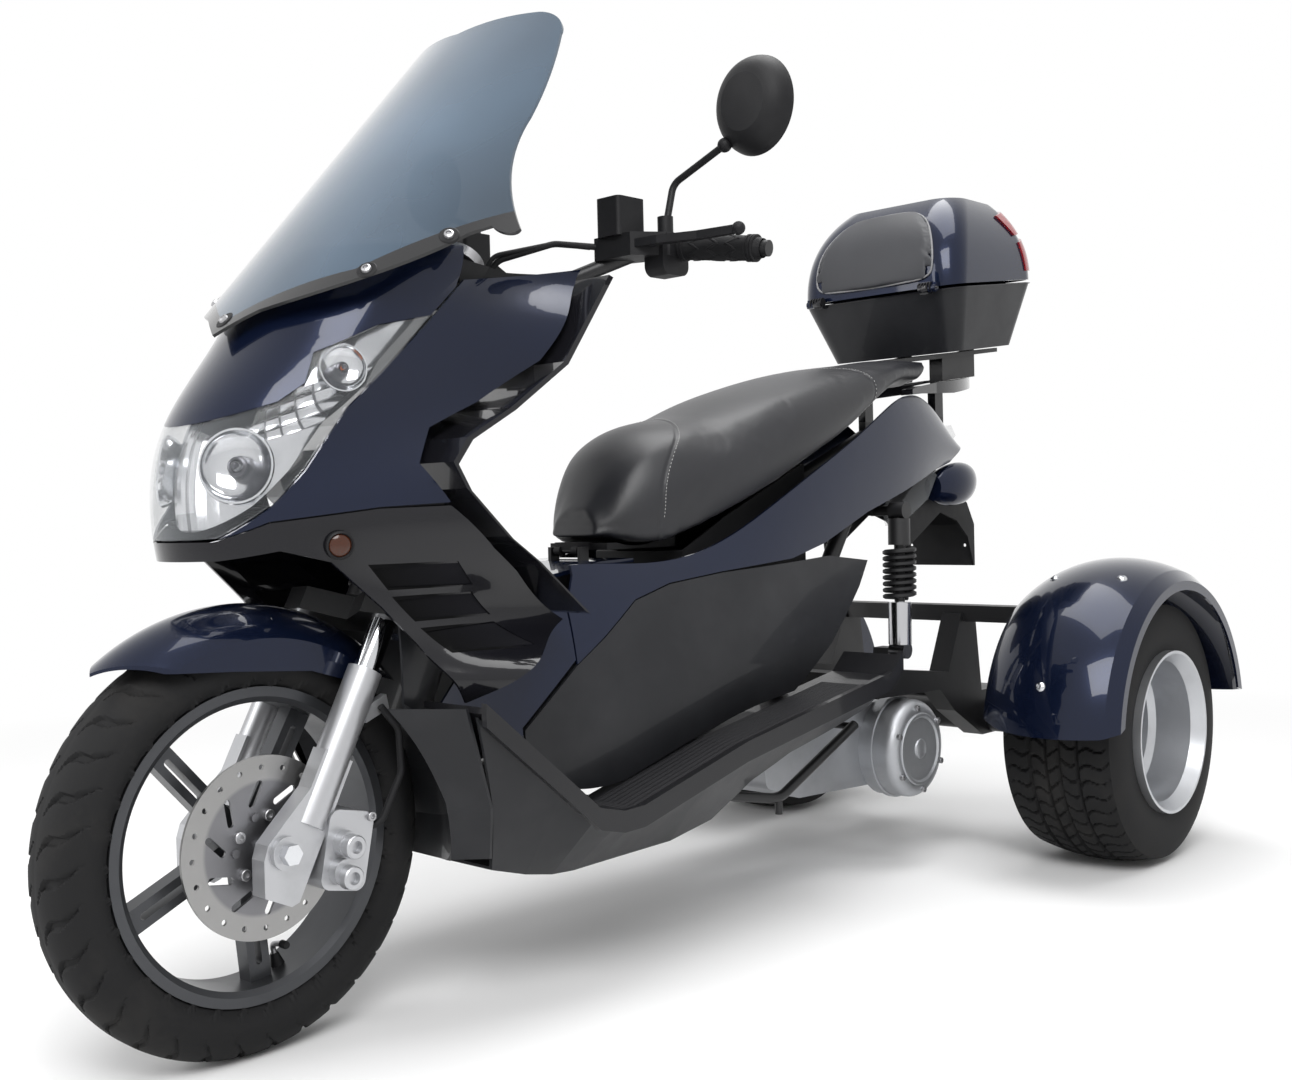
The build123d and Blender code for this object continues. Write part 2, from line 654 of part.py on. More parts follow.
# windshield: a sheet bent across, leaning back
lean, screen_half, screen_sag = 47.9, 275.0, 120.0
screen_foot = from_front(-17, 0, 902)
LEAN_SIN, LEAN_COS = sin(radians(lean)), cos(radians(lean))
SCREEN = Plane(origin=screen_foot, x_dir=(0, 1, 0), z_dir=(LEAN_SIN, 0, LEAN_COS))
with BuildPart() as windshield:
    with BuildSketch(Plane(origin=screen_foot, x_dir=(0, 1, 0), z_dir=(-LEAN_COS, 0, LEAN_SIN))):
        with BuildLine():
            for step in (0, -skin):
                ThreePointArc((-screen_half - 10, screen_sag + step), (0, step),
                              (screen_half + 10, screen_sag + step))
            Line((-screen_half - 10, screen_sag), (-screen_half - 10, screen_sag - skin))
            Line((screen_half + 10, screen_sag), (screen_half + 10, screen_sag - skin))
        make_face()
    extrude(amount=640, both=True)
    with BuildSketch(SCREEN.offset(-300)):
        with BuildLine():
            for side in (1, -1):
                Line((0, -44), (side * 56, -5))
                ThreePointArc((side * 56, -5), (side * 150, 53), (side * 237, 175))
                Line((side * 237, 175), (side * 252, 198))
                ThreePointArc((side * 252, 198), (side * 268, 197), (side * 275, 212))
                ThreePointArc((side * 275, 212), (side * 226, 311), (side * 214, 385))
                ThreePointArc((side * 214, 385), (side * 201, 466), (side * 180, 545))
                ThreePointArc((side * 180, 545), (side * 162, 575), (side * 130, 584))
                Line((side * 130, 584), (0, 558))
        make_face()
    extrude(amount=600, mode=Mode.INTERSECT)
keep(windshield, "windshield")

# ---------------------------------------------------------------- main frame
rail_r, frame_half, rail_half = 14.0, 78.0, 112.0
rail_pad_z = 812.0
shock_y, shock_top, shock_low = 156.0, (330, 636), (335, 392)
floor_rail_z = 222.0


def rail(points, bend=60, radius=rail_r):
    """One frame tube and its mirror image."""
    add(tube(points, bend, radius))
    add(tube(flip(points), bend, radius))


with BuildPart() as frame:
    with BuildSketch(STEER.offset(head_low)):
        Circle(head_tube_r)
    extrude(amount=head_high - head_low)
    rail([from_front(-250, 14, 600), from_front(-352, frame_half, 430),
          from_front(-388, frame_half, floor_rail_z),
          from_rear(720, frame_half, floor_rail_z), from_rear(640, frame_half + 20, 345),
          from_rear(560, rail_half, 450)])
    rail([from_rear(600, frame_half + 26, 398), from_rear(540, rail_half, 470),
          from_rear(420, rail_half, 640),
          from_rear(60, frame_half, 790)])
    rail([from_rear(668, frame_half + 10, 300), from_rear(520, rail_half, 345),
          from_rear(402, rail_half, 345)], 40, 12)
    for x, z, half in ((1120, floor_rail_z, frame_half), (820, floor_rail_z, frame_half),
                       (420, 640, rail_half)):
        with BuildSketch(rear_side(half)):
            with Locations((x, z)):
                Circle(11)
        extrude(amount=2 * half)
    for side in (1, -1):
        with BuildSketch(rear_side(side * 108)):
            polygon([(314, 628), (346, 628), (346, 674), (314, 680)])
        extrude(amount=side * 14)
        with BuildSketch(rear_side(side * 86)):
            polygon([(54, 780), (82, 772), (82, rail_pad_z), (54, rail_pad_z)])
        extrude(amount=side * 16)
        with BuildSketch(rear_side(side * (shock_y - 15))):
            with Locations(shock_top):
                Circle(9)
        extrude(amount=side * (shock_y - 15 - 100))
    with BuildSketch(STEER.offset(head_low - 1)):
        Circle(steerer_r + 0.05)
    extrude(amount=head_high - head_low + 2, mode=Mode.SUBTRACT)
keep(frame, "frame")

# ---------------------------------------------------------------- rear carrier with the axle housing
carrier_half, carrier_z = 128.0, 300.0
with BuildPart() as rear_carrier:
    with BuildSketch(rear_side(hub_in_y - 20)):
        with Locations((0, rear_tyre_r)):
            Circle(29)
    extrude(amount=2 * hub_in_y - 40)
    for side in (1, -1):
        with BuildSketch(rear_side(side * carrier_half + 20)):
            with BuildLine():
                Polyline((-60, 205), (40, 205), (140, 262), (190, 306), (400, 312), (400, 350), (330, 356),
                         (160, 336),
                         (110, 440), (60, 440), (40, 290), (-60, 290), close=True)
            make_face()
        extrude(amount=40)
    for side in (1, -1):
        with BuildSketch(rear_side(side * (shock_y - 15))):
            polygon([(312, 340), (358, 340), (350, 396), (320, 396)])
        extrude(amount=side * 30)
    for x, z in ((85, 440), (-40, 275), (360, 333)):
        with BuildSketch(rear_side(carrier_half + 20)):
            with Locations((x, z)):
                Rectangle(40, 30)
        extrude(amount=2 * carrier_half + 40)
    with BuildSketch(rear_side(fender_in_y)):
        with Locations((85, 440)):
            Rectangle(40, 30)
    extrude(amount=2 * fender_in_y)
    with BuildSketch(rear_side()):
        with Locations((0, rear_tyre_r)):
            Circle(stub_r + 0.05)
    extrude(amount=300, both=True, mode=Mode.SUBTRACT)
keep(rear_carrier, "rear_carrier")

# ---------------------------------------------------------------- engine
with BuildPart() as engine:
    with BuildSketch(rear_side(96)):
        with BuildLine():
            Polyline((205, 172), (330, 150), (560, 160), (650, 190), (655, 260), (560, 292), (300, 296),
                     (215, 262), close=True)
        make_face()
    extrude(amount=192)
    fillet(engine.edges().filter_by(Axis.Y), 18)
    with BuildSketch(rear_side(168)):
        with Locations((296, 214)):
            Circle(86)
    extrude(amount=72)
    fillet(engine.faces().sort_by(Axis.Y)[-1].edges(), 20)
keep(engine, "engine")

with BuildPart() as muffler:
    with BuildSketch(cross(rear_x + 120)):
        with Locations((-186, 215)):
            Circle(46)
    extrude(amount=380)
    fillet(muffler.faces().sort_by(Axis.X)[0].edges(), 14)
    fillet(muffler.faces().sort_by(Axis.X)[-1].edges(), 14)
    with BuildSketch(cross(rear_x + 122)):
        with Locations((-186, 215)):
            Circle(14)
    extrude(amount=-40)
    add(tube([from_rear(495, -186, 215), from_rear(560, -186, 215), from_rear(620, -140, 215),
              from_rear(640, -90, 230)], 30, 14))
    add(engine.part, mode=Mode.SUBTRACT)
keep(muffler, "muffler")

# ---------------------------------------------------------------- rear shocks
def shock_line(side):
    """Upper eye, lower eye and the direction between them, of one shock absorber."""
    top = from_rear(shock_top[0], side * shock_y, shock_top[1])
    low = from_rear(shock_low[0], side * shock_y, shock_low[1])
    return top, low, (low - top).normalized()


with BuildPart() as shock_bodies:
    for side in (1, -1):
        top, low, way = shock_line(side)
        with BuildSketch(Plane(origin=top + way * 14, z_dir=way)):
            Circle(19)
        extrude(amount=46)
        with BuildSketch(Plane(origin=top, z_dir=way)):
            Circle(9)
        extrude(amount=(low - top).length)
        with BuildSketch(Plane(origin=low - way * 84, z_dir=way)):
            Circle(20)
        extrude(amount=74)
        for eye in (top, low):
            with BuildSketch(Plane(origin=eye + Vector(0, 15, 0), z_dir=(0, -1, 0))):
                Circle(15)
            extrude(amount=30)
keep(shock_bodies, "shock_bodies")

spring_r, wire_r, spring_turns = 25.0, 4.5, 8
with BuildPart() as shock_springs:
    for side in (1, -1):
        top, low, way = shock_line(side)
        start, run = top + way * 66, (low - top).length - 66 - 90
        with BuildPart(mode=Mode.PRIVATE) as coil:
            with BuildLine():
                Helix(run / spring_turns, run, spring_r)
            with BuildSketch(Plane(origin=(spring_r, 0, 0), z_dir=(0, 1, 0))):
                RegularPolygon(wire_r, 6)
            sweep(is_frenet=True)
        add(Plane(origin=start, z_dir=way).location * coil.part)
keep(shock_springs, "shock_springs")

# ---------------------------------------------------------------- floor, belly and splash guard
# the wheel turns inside this surface about the steering axis: radius, distance up the axis
arch_half = 146.0
arch_line = [(198, -130), (221, -60), (228, 0), (221, 60), (199, 120), (164, 170), (128, 215), (124, 330)]


def arch_room(step):
    """Room for the steered wheel, grown by a step."""
    with BuildPart(mode=Mode.PRIVATE) as room:
        with BuildSketch(steer_side()):
            Polygon((0, -130), *[(r + step, u) for r, u in arch_line], (0, 330), align=None)
        revolve(axis=Axis(steer_foot, STEER.z_dir))
    return room.part


wheel_room = arch_room(skin)

mat_in, floor_half, floor_wall, rim_h = 130.0, 246.0, 8.0, 24.0
floor_line = [(1387, 418), (1195, 262), (1150, 251), (1110, 252), (887, 307), (505, 370), (470, 400)]
for name, side in (("floorboard_left", 1), ("floorboard_right", -1)):
    with BuildPart() as floorboard:
        outer = max(side * floor_half, side * mat_in)
        with BuildSketch(rear_side(outer)):
            polygon([*floor_line, *[(x, z - floor_wall) for x, z in reversed(floor_line)]])
        extrude(amount=floor_half - mat_in)
        with BuildSketch(rear_side(side * floor_half if side > 0 else -floor_half + 9)):
            polygon([*[(x, z + 5) for x, z in floor_line],
                     *[(x, z - rim_h) for x, z in reversed(floor_line)]])
        extrude(amount=9)
        add(wheel_room, mode=Mode.SUBTRACT)
    keep(floorboard, name)

#             x     top y, z    bottom y, z
belly_rows = [(1400, 228, 416, 176, 214),
              (1350, 230, 376, 172, 208),
              (1250, 234, 295, 160, 178),
              (1195, 236, 251, 152, 166),
              (1150, 236, 240, 148, 162),
              (1110, 236, 240, 148, 163),
              (950, 236, 278, 148, 166),
              (750, 236, 317, 152, 200),
              (490, 230, 352, 170, 296)]
belly_front = [(1392, 420), (1340, 285), (1320, 214), (1304, 150)]
with BuildPart() as belly_pan:
    for x, ty, tz, by, bz in belly_rows:
        with BuildSketch(cross(rear_x + x)):
            with BuildLine():
                Polyline((-ty, tz), (-by, bz), (by, bz), (ty, tz), (ty - skin, tz), (by - skin, bz + skin),
                         (skin - by, bz + skin), (skin - ty, tz), close=True)
            make_face()
    loft(ruled=True)
    with BuildSketch(rear_side(400)):
        polygon([(900, 60), (870, 170), (800, 236), (720, 268), (580, 292), (400, 330), (400, 60)])
        polygon([*belly_front, (1500, 150), (1500, 420)])
    extrude(amount=800, mode=Mode.SUBTRACT)
    add(wheel_room, mode=Mode.SUBTRACT)
keep(belly_pan, "belly_pan")

#              z   outer x, y    inner x, y
wing_rows = [(416, 1395, 222, 1482, 96),
             (286, 1344, 205, 1450, 96),
             (216, 1324, 178, 1440, 60)]
with BuildPart() as splash_guard:
    with BuildSketch(steer_side()):
        Polygon(*[(r + skin, u) for r, u in arch_line], *reversed(arch_line), align=None)
    revolve(axis=Axis(steer_foot, STEER.z_dir))
    with BuildSketch(rear_side(arch_half)):
        polygon([(1120, 120), (1250, 178), (1340, 206), (1420, 290), (1420, 520), (1120, 520)])
    extrude(amount=2 * arch_half, mode=Mode.INTERSECT)
    for side in (1, -1):
        for z, x0, y0, x1, y1 in wing_rows:
            with BuildSketch(level(z)):
                polygon([(x0, side * y0), (x1, side * y1), (x1 + skin, side * y1), (x0 + skin, side * y0)])
        loft(ruled=True)
    add(arch_room(0), mode=Mode.SUBTRACT)
keep(splash_guard, "splash_guard")

# guard rails under the floor, with their pegs
guard_r, peg_r = 8.0, 6.0
with BuildPart() as guard_rails:
    for side in (1, -1):
        add(tube([from_rear(846, side * 140, 216), from_rear(712, side * 168, 192),
                  from_rear(500, side * 168, 282)], 60, guard_r))
        for x, z in ((840, 216), (506, 280)):
            with BuildSketch(rear_side(side * (rail_half - 30))):
                with Locations((x, z)):
                    Circle(guard_r - 2)
            extrude(amount=-side * (66 if x > 600 else 88))
        with BuildSketch(level(168)):
            with Locations((712, side * 167)):
                Circle(peg_r)
        extrude(amount=24)
    add(frame.part, mode=Mode.SUBTRACT)
    add(engine.part, mode=Mode.SUBTRACT)
    add(belly_pan.part, mode=Mode.SUBTRACT)
keep(guard_rails, "guard_rails")

# ---------------------------------------------------------------- body sides from the tunnel to the tail
#             x     top y, z    widest y, z   foot y, z
side_rows = [(1390, 92, 540, 136, 440, 146, 330),
             (1210, 92, 548, 134, 440, 146, 290),
             (1050, 112, 574, 152, 450, 152, 270),
             (850, 136, 584, 170, 460, 152, 318),
             (650, 142, 662, 172, 510, 152, 352),
             (450, 138, 752, 162, 600, 150, 400),
             (300, 128, 824, 148, 700, 140, 520),
             (120, 108, 818, 122, 770, 112, 690),
             (-60, 66, 804, 76, 780, 72, 750)]


def side_skin(inset):
    """Left side of the body: a thin bowed band lofted along the vehicle."""
    with BuildPart(mode=Mode.PRIVATE) as shell:
        for x, ty, tz, my, mz, by, bz in side_rows:
            with BuildSketch(cross(rear_x + x)):
                with BuildLine():
                    ThreePointArc((ty - inset, tz), (my - inset, mz), (by - inset, bz))
                    Line((by - inset, bz), (by - inset - skin, bz))
                    ThreePointArc((by - inset - skin, bz), (my - inset - skin, mz), (ty - inset - skin, tz))
                    Line((ty - inset - skin, tz), (ty - inset, tz))
                make_face()
        loft()
    return shell.part


body_side = side_skin(0)
cowl_low = [(1128, 440), (1072, 474), (1003, 521), (930, 541), (821, 553), (660, 566), (570, 587),
            (430, 636), (300, 670),
            (170, 706), (74, 724), (-45, 784)]
with BuildPart() as side_cowl_left:
    add(body_side)
    with BuildSketch(rear_side(400)):
        polygon([*cowl_low, (36, 816), (120, 900), (1040, 900), (1100, 560), (1124, 520)])
    extrude(amount=800, mode=Mode.INTERSECT)
keep(side_cowl_left, "side_cowl_left")

with BuildPart() as side_cowl_right:
    add(side_cowl_left.part.mirror(Plane.XZ))
keep(side_cowl_right, "side_cowl_right")

with BuildPart() as side_panel_left:
    add(body_side)
    with BuildSketch(rear_side(400)):
        polygon([(1230, 362), (1129, 438), (1072, 472), (1003, 519), (930, 539), (821, 551), (660, 560),
                 (560, 566),
                 (442, 554), (470, 512), (550, 424), (646, 350), (900, 309), (1110, 254), (1195, 264),
                 (1230, 292)])
    extrude(amount=800, mode=Mode.INTERSECT)
keep(side_panel_left, "side_panel_left")

with BuildPart() as side_panel_right:
    add(side_panel_left.part.mirror(Plane.XZ))
keep(side_panel_right, "side_panel_right")

with BuildPart() as tunnel_cover:
    with BuildSketch(rear_side(90)):
        polygon([(950, 578), (1020, 576), (1120, 562), (1180, 540), (1180, 534), (1120, 556), (1020, 570),
                 (950, 572)])
    extrude(amount=180)
    with BuildSketch(level(500)):
        with Locations((996, 0)):
            Rectangle(30, 68)
    extrude(amount=120, mode=Mode.SUBTRACT)
    with BuildPart(mode=Mode.PRIVATE) as tunnel_wall:
        add(body_side)
        with BuildSketch(rear_side(400)):
            polygon([(1130, 446), (1234, 366), (1234, 298), (1300, 350), (1372, 408), (1300, 460),
                     (1190, 508),
                     (1166, 508), (1164, 536), (1126, 552)])
        extrude(amount=800, mode=Mode.INTERSECT)
        add(wheel_room, mode=Mode.SUBTRACT)
    add(tunnel_wall.part)
    add(tunnel_wall.part.mirror(Plane.XZ))
keep(tunnel_cover, "tunnel_cover")

# ---------------------------------------------------------------- seat, storage tub under it
#             x    half width, bottom z, top z
seat_rows = [(990, 48, 604, 642),
             (948, 84, 600, 704),
             (880, 116, 598, 770),
             (780, 140, 630, 794),
             (670, 154, 674, 828),
             (560, 160, 724, 858),
             (450, 158, 774, 882),
             (340, 150, 834, 898),
             (240, 134, 866, 910),
             (140, 110, 886, 916)]
with BuildPart() as seat_cushion:
    for x, half, low, high in seat_rows:
        with BuildSketch(cross(rear_x + x)):
            with BuildLine():
                h = high - low
                Line((-half * 0.88, low), (half * 0.88, low))
                ThreePointArc((half * 0.88, low), (half, low + h * 0.4), (half * 0.8, high - h * 0.16))
                ThreePointArc((half * 0.8, high - h * 0.16), (0, high), (-half * 0.8, high - h * 0.16))
                ThreePointArc((-half * 0.8, high - h * 0.16), (-half, low + h * 0.4), (-half * 0.88, low))
            make_face()
    loft()
keep(seat_cushion, "seat_cushion")

tub_half, tub_wall = 92.0, 4.0
tub_side = [(840, 455), (840, 584), (740, 632), (520, 720), (520, 455)]
with BuildPart() as storage_tub:
    with BuildSketch(rear_side(tub_half)):
        polygon(tub_side)
    extrude(amount=2 * tub_half)
    with BuildSketch(rear_side(tub_half - tub_wall)):
        polygon([(840 - tub_wall, 455 + tub_wall), (840 - tub_wall, 700), (720, 800), (520 + tub_wall, 800),
                 (520 + tub_wall, 455 + tub_wall)])
    extrude(amount=2 * tub_half - 2 * tub_wall, mode=Mode.SUBTRACT)
keep(storage_tub, "storage_tub")

# seat hinge: a pin between two tabs on the body, two ears under the seat
hinge_x, hinge_z, pin_r = 996.0, 590.0, 4.0
with BuildPart() as seat_hinge:
    with BuildSketch(rear_side(34)):
        with Locations((hinge_x, hinge_z)):
            Circle(pin_r)
    extrude(amount=68)
    for y in (34, -28):
        with BuildSketch(rear_side(y)):
            polygon([(hinge_x - 9, hinge_z + 6), (hinge_x + 9, hinge_z + 6), (hinge_x + 9, 540),
                     (hinge_x - 9, 540)])
        extrude(amount=6)
keep(seat_hinge, "seat_hinge")

with BuildPart() as seat_base:
    for half, line in ((60, [(820, 591), (974, 591), (974, 601), (880, 601), (820, 606)]),
                       (24, [(960, 591), (1000, 591), (1000, 603), (960, 603)])):
        with BuildSketch(rear_side(half)):
            polygon(line)
        extrude(amount=2 * half)
    for y in (24, -12):
        with BuildSketch(rear_side(y)):
            with Locations((hinge_x, hinge_z)):
                Circle(8)
        extrude(amount=12)
    with BuildSketch(rear_side(34)):
        with Locations((hinge_x, hinge_z)):
            Circle(pin_r + 0.05)
    extrude(amount=68, mode=Mode.SUBTRACT)
    add(seat_cushion.part, mode=Mode.SUBTRACT)
keep(seat_base, "seat_base")

# ---------------------------------------------------------------- tail
with BuildPart() as grab_rail:
    with BuildSketch(level(780)):
        with BuildLine():
            outer = [((240, 134), (130, 118)), ((130, 118), (0, 100), (-110, 52)),
                     ((-110, 52), (-130, 0), (-110, -52)),
                     ((-110, -52), (0, -100), (130, -118)), ((130, -118), (240, -134))]
            inner = [((240, -110), (130, -94)), ((130, -94), (20, -76), (-84, -38)),
                     ((-84, -38), (-98, 0), (-84, 38)),
                     ((-84, 38), (20, 76), (130, 94)), ((130, 94), (240, 110))]
            for span in (*outer, *inner):
                Line(*span) if len(span) == 2 else ThreePointArc(*span)
            Line((240, -134), (240, -110))
            Line((240, 134), (240, 110))
        make_face()
    extrude(amount=150)
    with BuildSketch(rear_side(400)):
        polygon([(240, 844), (200, 848), (130, 852), (60, 856), (-60, 872), (-130, 884), (-130, 904),
                 (-60, 894), (60, 880),
                 (130, 872), (200, 862), (240, 854)])
    extrude(amount=800, mode=Mode.INTERSECT)
    for side in (1, -1):
        with BuildSketch(rear_side(side * 86)):
            polygon([(54, rail_pad_z), (82, rail_pad_z), (82, 866), (54, 866)])
        extrude(amount=side * 16)
keep(grab_rail, "grab_rail")

guard_half_y = 80.0
plate_x, plate_z, plate_pitch, plate_hole_r = -66.0, 562.0, 120.0, 3.5
with BuildPart() as rear_mudguard:
    with BuildSketch(rear_side(guard_half_y)):
        polygon([(240, 700), (120, 720), (20, 700), (-40, 646), (plate_x, 604), (plate_x, 522),
                 (plate_x + 4, 522),
                 (plate_x + 4, 603), (-35, 640), (24, 694), (120, 713), (240, 693)])
    extrude(amount=2 * guard_half_y)
    for side in (1, -1):
        with BuildSketch(rear_side(side * guard_half_y)):
            polygon([(240, 700), (120, 720), (20, 700), (-40, 646), (plate_x, 604), (plate_x, 522),
                     (plate_x + 4, 522),
                     (-40, 580), (0, 612), (60, 630), (190, 560), (217, 557)])
        extrude(amount=side * 4)
    with BuildSketch(cross(rear_x + plate_x - 1)):
        with Locations((-plate_pitch / 2, plate_z), (plate_pitch / 2, plate_z)):
            Circle(plate_hole_r)
    extrude(amount=6, mode=Mode.SUBTRACT)
keep(rear_mudguard, "rear_mudguard")

with BuildPart() as tail_lamps:
    for side in (1, -1):
        with BuildSketch(rear_side(side * (guard_half_y + 32))):
            polygon([(255, 608), (266, 640), (158, 716), (126, 700), (158, 656)])
        extrude(amount=side * 32)
    with BuildSketch(rear_side(60)):
        polygon([(30, 722), (-36, 780), (-20, 800), (40, 790)])
    extrude(amount=120)
keep(tail_lamps, "tail_lamps")

with BuildPart() as signal_pods:
    for side in (1, -1):
        with BuildPart(mode=Mode.PRIVATE) as pod:
            for x, half_y, half_z in ((118, 18, 24), (70, 26, 40), (0, 22, 32), (-32, 10, 16)):
                with BuildSketch(cross(rear_x + x)):
                    with Locations((side * (guard_half_y + half_y), 688 - x * 0.1)):
                        Ellipse(half_y, half_z)
            loft()
        add(pod.part)
keep(signal_pods, "signal_pods")

# ---------------------------------------------------------------- rack and top case
with BuildPart() as case_rack:
    with BuildSketch(rear_side(92)):
        polygon([(90, 928), (-130, 955), (-150, 957), (-150, 949), (90, 920)])
    extrude(amount=184)
    for y in (84, -56):
        with BuildSketch(rear_side(y)):
            polygon([(-72, 950), (-72, 896), (-24, 890.5), (50, 882), (50, 925)])
        extrude(amount=28)
keep(case_rack, "case_rack")

case_tilt = 7.0
CASE = Plane(origin=from_rear(-20, 0, 944), x_dir=(cos(radians(case_tilt)), 0, -sin(radians(case_tilt))),
             z_dir=(sin(radians(case_tilt)), 0, cos(radians(case_tilt))))
case_l, case_w, case_wall, base_h, lid_h = 318.0, 346.0, 4.0, 118.0, 168.0
rim_gap = gap
hinge_out, knuckle_r, knuckle_w = 12.0, 7.0, 16.0
lid_pivot = CASE.from_local_coords(Vector(case_l / 2 + hinge_out, 0, base_h + rim_gap / 2))


def case_side(y):
    """Side plane of the case at y: local x runs forward from its centre, local y up from its floor."""
    return Plane(origin=CASE.origin + Vector(0, y, 0), x_dir=CASE.x_dir, z_dir=(0, -1, 0))


def knuckles(y, up):
    """A knuckle of the case hinge on each side with the arm that carries it, above or below the rim."""
    with BuildPart(mode=Mode.PRIVATE) as pair:
        for side in (1, -1):
            with BuildSketch(case_side(side * y)):
                with Locations((case_l / 2 + hinge_out, base_h + rim_gap / 2)):
                    Circle(knuckle_r)
                with Locations((case_l / 2 + hinge_out / 2 - 2,
                                base_h + rim_gap / 2 + up * (rim_gap / 2 + 4))):
                    Rectangle(hinge_out + 8, 7)
            extrude(amount=-side * knuckle_w)
    return pair.part


with BuildPart() as case_base:
    for inset, floor in ((0, 0), (case_wall, case_wall)):
        if inset:
            add(knuckles(108, -1))
        with BuildSketch(CASE.offset(floor)):
            RectangleRounded(case_l * 0.72 - 2 * inset, case_w * 0.8 - 2 * inset, 30)
        with BuildSketch(CASE.offset(base_h + inset * 0.5)):
            RectangleRounded(case_l - 2 * inset, case_w - 2 * inset, 44)
        loft(mode=Mode.SUBTRACT if inset else Mode.ADD)
    with BuildSketch(case_side(142)):
        with Locations((case_l / 2 + hinge_out, base_h + rim_gap / 2)):
            Circle(pin_r / 2)
    extrude(amount=34)
    with BuildSketch(case_side(-142)):
        with Locations((case_l / 2 + hinge_out, base_h + rim_gap / 2)):
            Circle(pin_r / 2)
    extrude(amount=-34)
keep(case_base, "case_base")

#            height, length, width, shift back, corner
lid_rows = [(0, 318, 346, 0, 44), (92, 284, 326, 12, 52), (162, 178, 250, 34, 50)]
lid_fall = 7.0


def lid_form(inset):
    """The lid's outer form, or the same drawn in by a wall."""
    with BuildPart(mode=Mode.PRIVATE) as form:
        for height, length, width, back_by, corner in lid_rows:
            seat = CASE.offset(base_h + rim_gap + height - inset * (1 if height else 0.5))
            with BuildSketch(seat.rotated((0, -lid_fall * height / lid_rows[-1][0], 0))):
                with Locations((-back_by, 0)):
                    RectangleRounded(length - 2 * inset, width - 2 * inset, corner - inset)
        loft()
    return form.part


with BuildPart() as case_lid:
    add(lid_form(0))
    add(knuckles(126, 1))
    add(lid_form(case_wall), mode=Mode.SUBTRACT)
    with BuildSketch(case_side(150)):
        with Locations((case_l / 2 + hinge_out, base_h + rim_gap / 2)):
            Circle(pin_r / 2 + 0.05)
    extrude(amount=300, mode=Mode.SUBTRACT)
keep(case_lid, "case_lid")

#           height, front x, half width
pad_rows = [(14, 170, 126), (50, 165, 130), (92, 150, 122), (128, 124, 98), (148, 102, 62)]
with BuildPart() as case_pad:
    for height, front, half in pad_rows:
        with BuildSketch(CASE.offset(base_h + rim_gap + height)):
            with BuildLine():
                Polyline((front - 12, half), (front - 50, half), (front - 50, -half), (front - 12, -half))
                ThreePointArc((front - 12, half), (front, 0), (front - 12, -half))
            make_face()
    loft()
    add(lid_form(0), mode=Mode.SUBTRACT)
keep(case_pad, "case_pad")

with BuildPart() as case_reflectors:
    add(lid_form(-3))
    with BuildSketch(case_side(400)):
        polygon([(-150, base_h + 22), (-112, base_h + 22), (-104, base_h + 78), (-150, base_h + 90)])
        polygon([(-60, base_h + 132), (-96, base_h + 92), (-156, base_h + 100), (-124, base_h + 146)])
    extrude(amount=800, mode=Mode.INTERSECT)
    with BuildSketch(CASE.offset(base_h)):
        Rectangle(800, 220)
    extrude(amount=300, mode=Mode.SUBTRACT)
    add(lid_form(0), mode=Mode.SUBTRACT)
keep(case_reflectors, "case_reflectors")

print(len(pieces), "pieces")
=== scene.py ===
"""Dresses a motorized trike: finishes, tyre treads, padding, fasteners, lamps, light and camera."""

import logging
import math
from dataclasses import dataclass, field
from enum import Enum
from typing import Callable, Sequence

import bmesh
import bpy
from mathutils import Matrix, Vector
from mathutils.bvhtree import BVHTree


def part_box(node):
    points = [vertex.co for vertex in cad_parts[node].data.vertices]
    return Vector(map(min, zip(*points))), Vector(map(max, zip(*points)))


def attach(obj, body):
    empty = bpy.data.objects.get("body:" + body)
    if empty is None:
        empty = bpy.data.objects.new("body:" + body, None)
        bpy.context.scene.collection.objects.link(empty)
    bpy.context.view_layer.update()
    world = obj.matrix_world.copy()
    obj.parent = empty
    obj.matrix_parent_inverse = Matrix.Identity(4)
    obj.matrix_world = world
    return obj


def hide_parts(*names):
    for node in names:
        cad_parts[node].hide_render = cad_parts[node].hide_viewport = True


LOG = logging.getLogger("trike")
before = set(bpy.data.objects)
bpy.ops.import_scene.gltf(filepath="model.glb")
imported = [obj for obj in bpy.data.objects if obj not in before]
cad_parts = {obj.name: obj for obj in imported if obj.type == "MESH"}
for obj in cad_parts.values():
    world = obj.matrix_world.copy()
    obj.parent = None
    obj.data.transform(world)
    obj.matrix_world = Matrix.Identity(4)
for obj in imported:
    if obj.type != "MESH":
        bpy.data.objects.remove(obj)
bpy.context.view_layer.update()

REAR_X, FRONT_X = -0.768, 0.809
FRONT_R, REAR_R = 258.0, 236.0  # tyre radii in millimetres
HALF_TRACK = 0.3825
FRONT_AXLE = Vector((FRONT_X, 0.0, FRONT_R / 1000))
REAR_AXLE = Vector((REAR_X, 0.0, REAR_R / 1000))
SPRING_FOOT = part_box("shock_springs")[0][2]


def from_front(x: float, y: float, z: float) -> Vector:
    """Point in metres given by its distance ahead of the front axle.

    Args:
        x: Distance ahead of the front axle.
        y: Distance to the rider's left.
        z: Height above the floor.

    Returns:
        The point in the object's frame.
    """
    return Vector((FRONT_X + x, y, z))


def from_rear(x: float, y: float, z: float) -> Vector:
    """Point in metres given by its distance ahead of the rear axle.

    Args:
        x: Distance ahead of the rear axle.
        y: Distance to the rider's left.
        z: Height above the floor.

    Returns:
        The point in the object's frame.
    """
    return Vector((REAR_X + x, y, z))


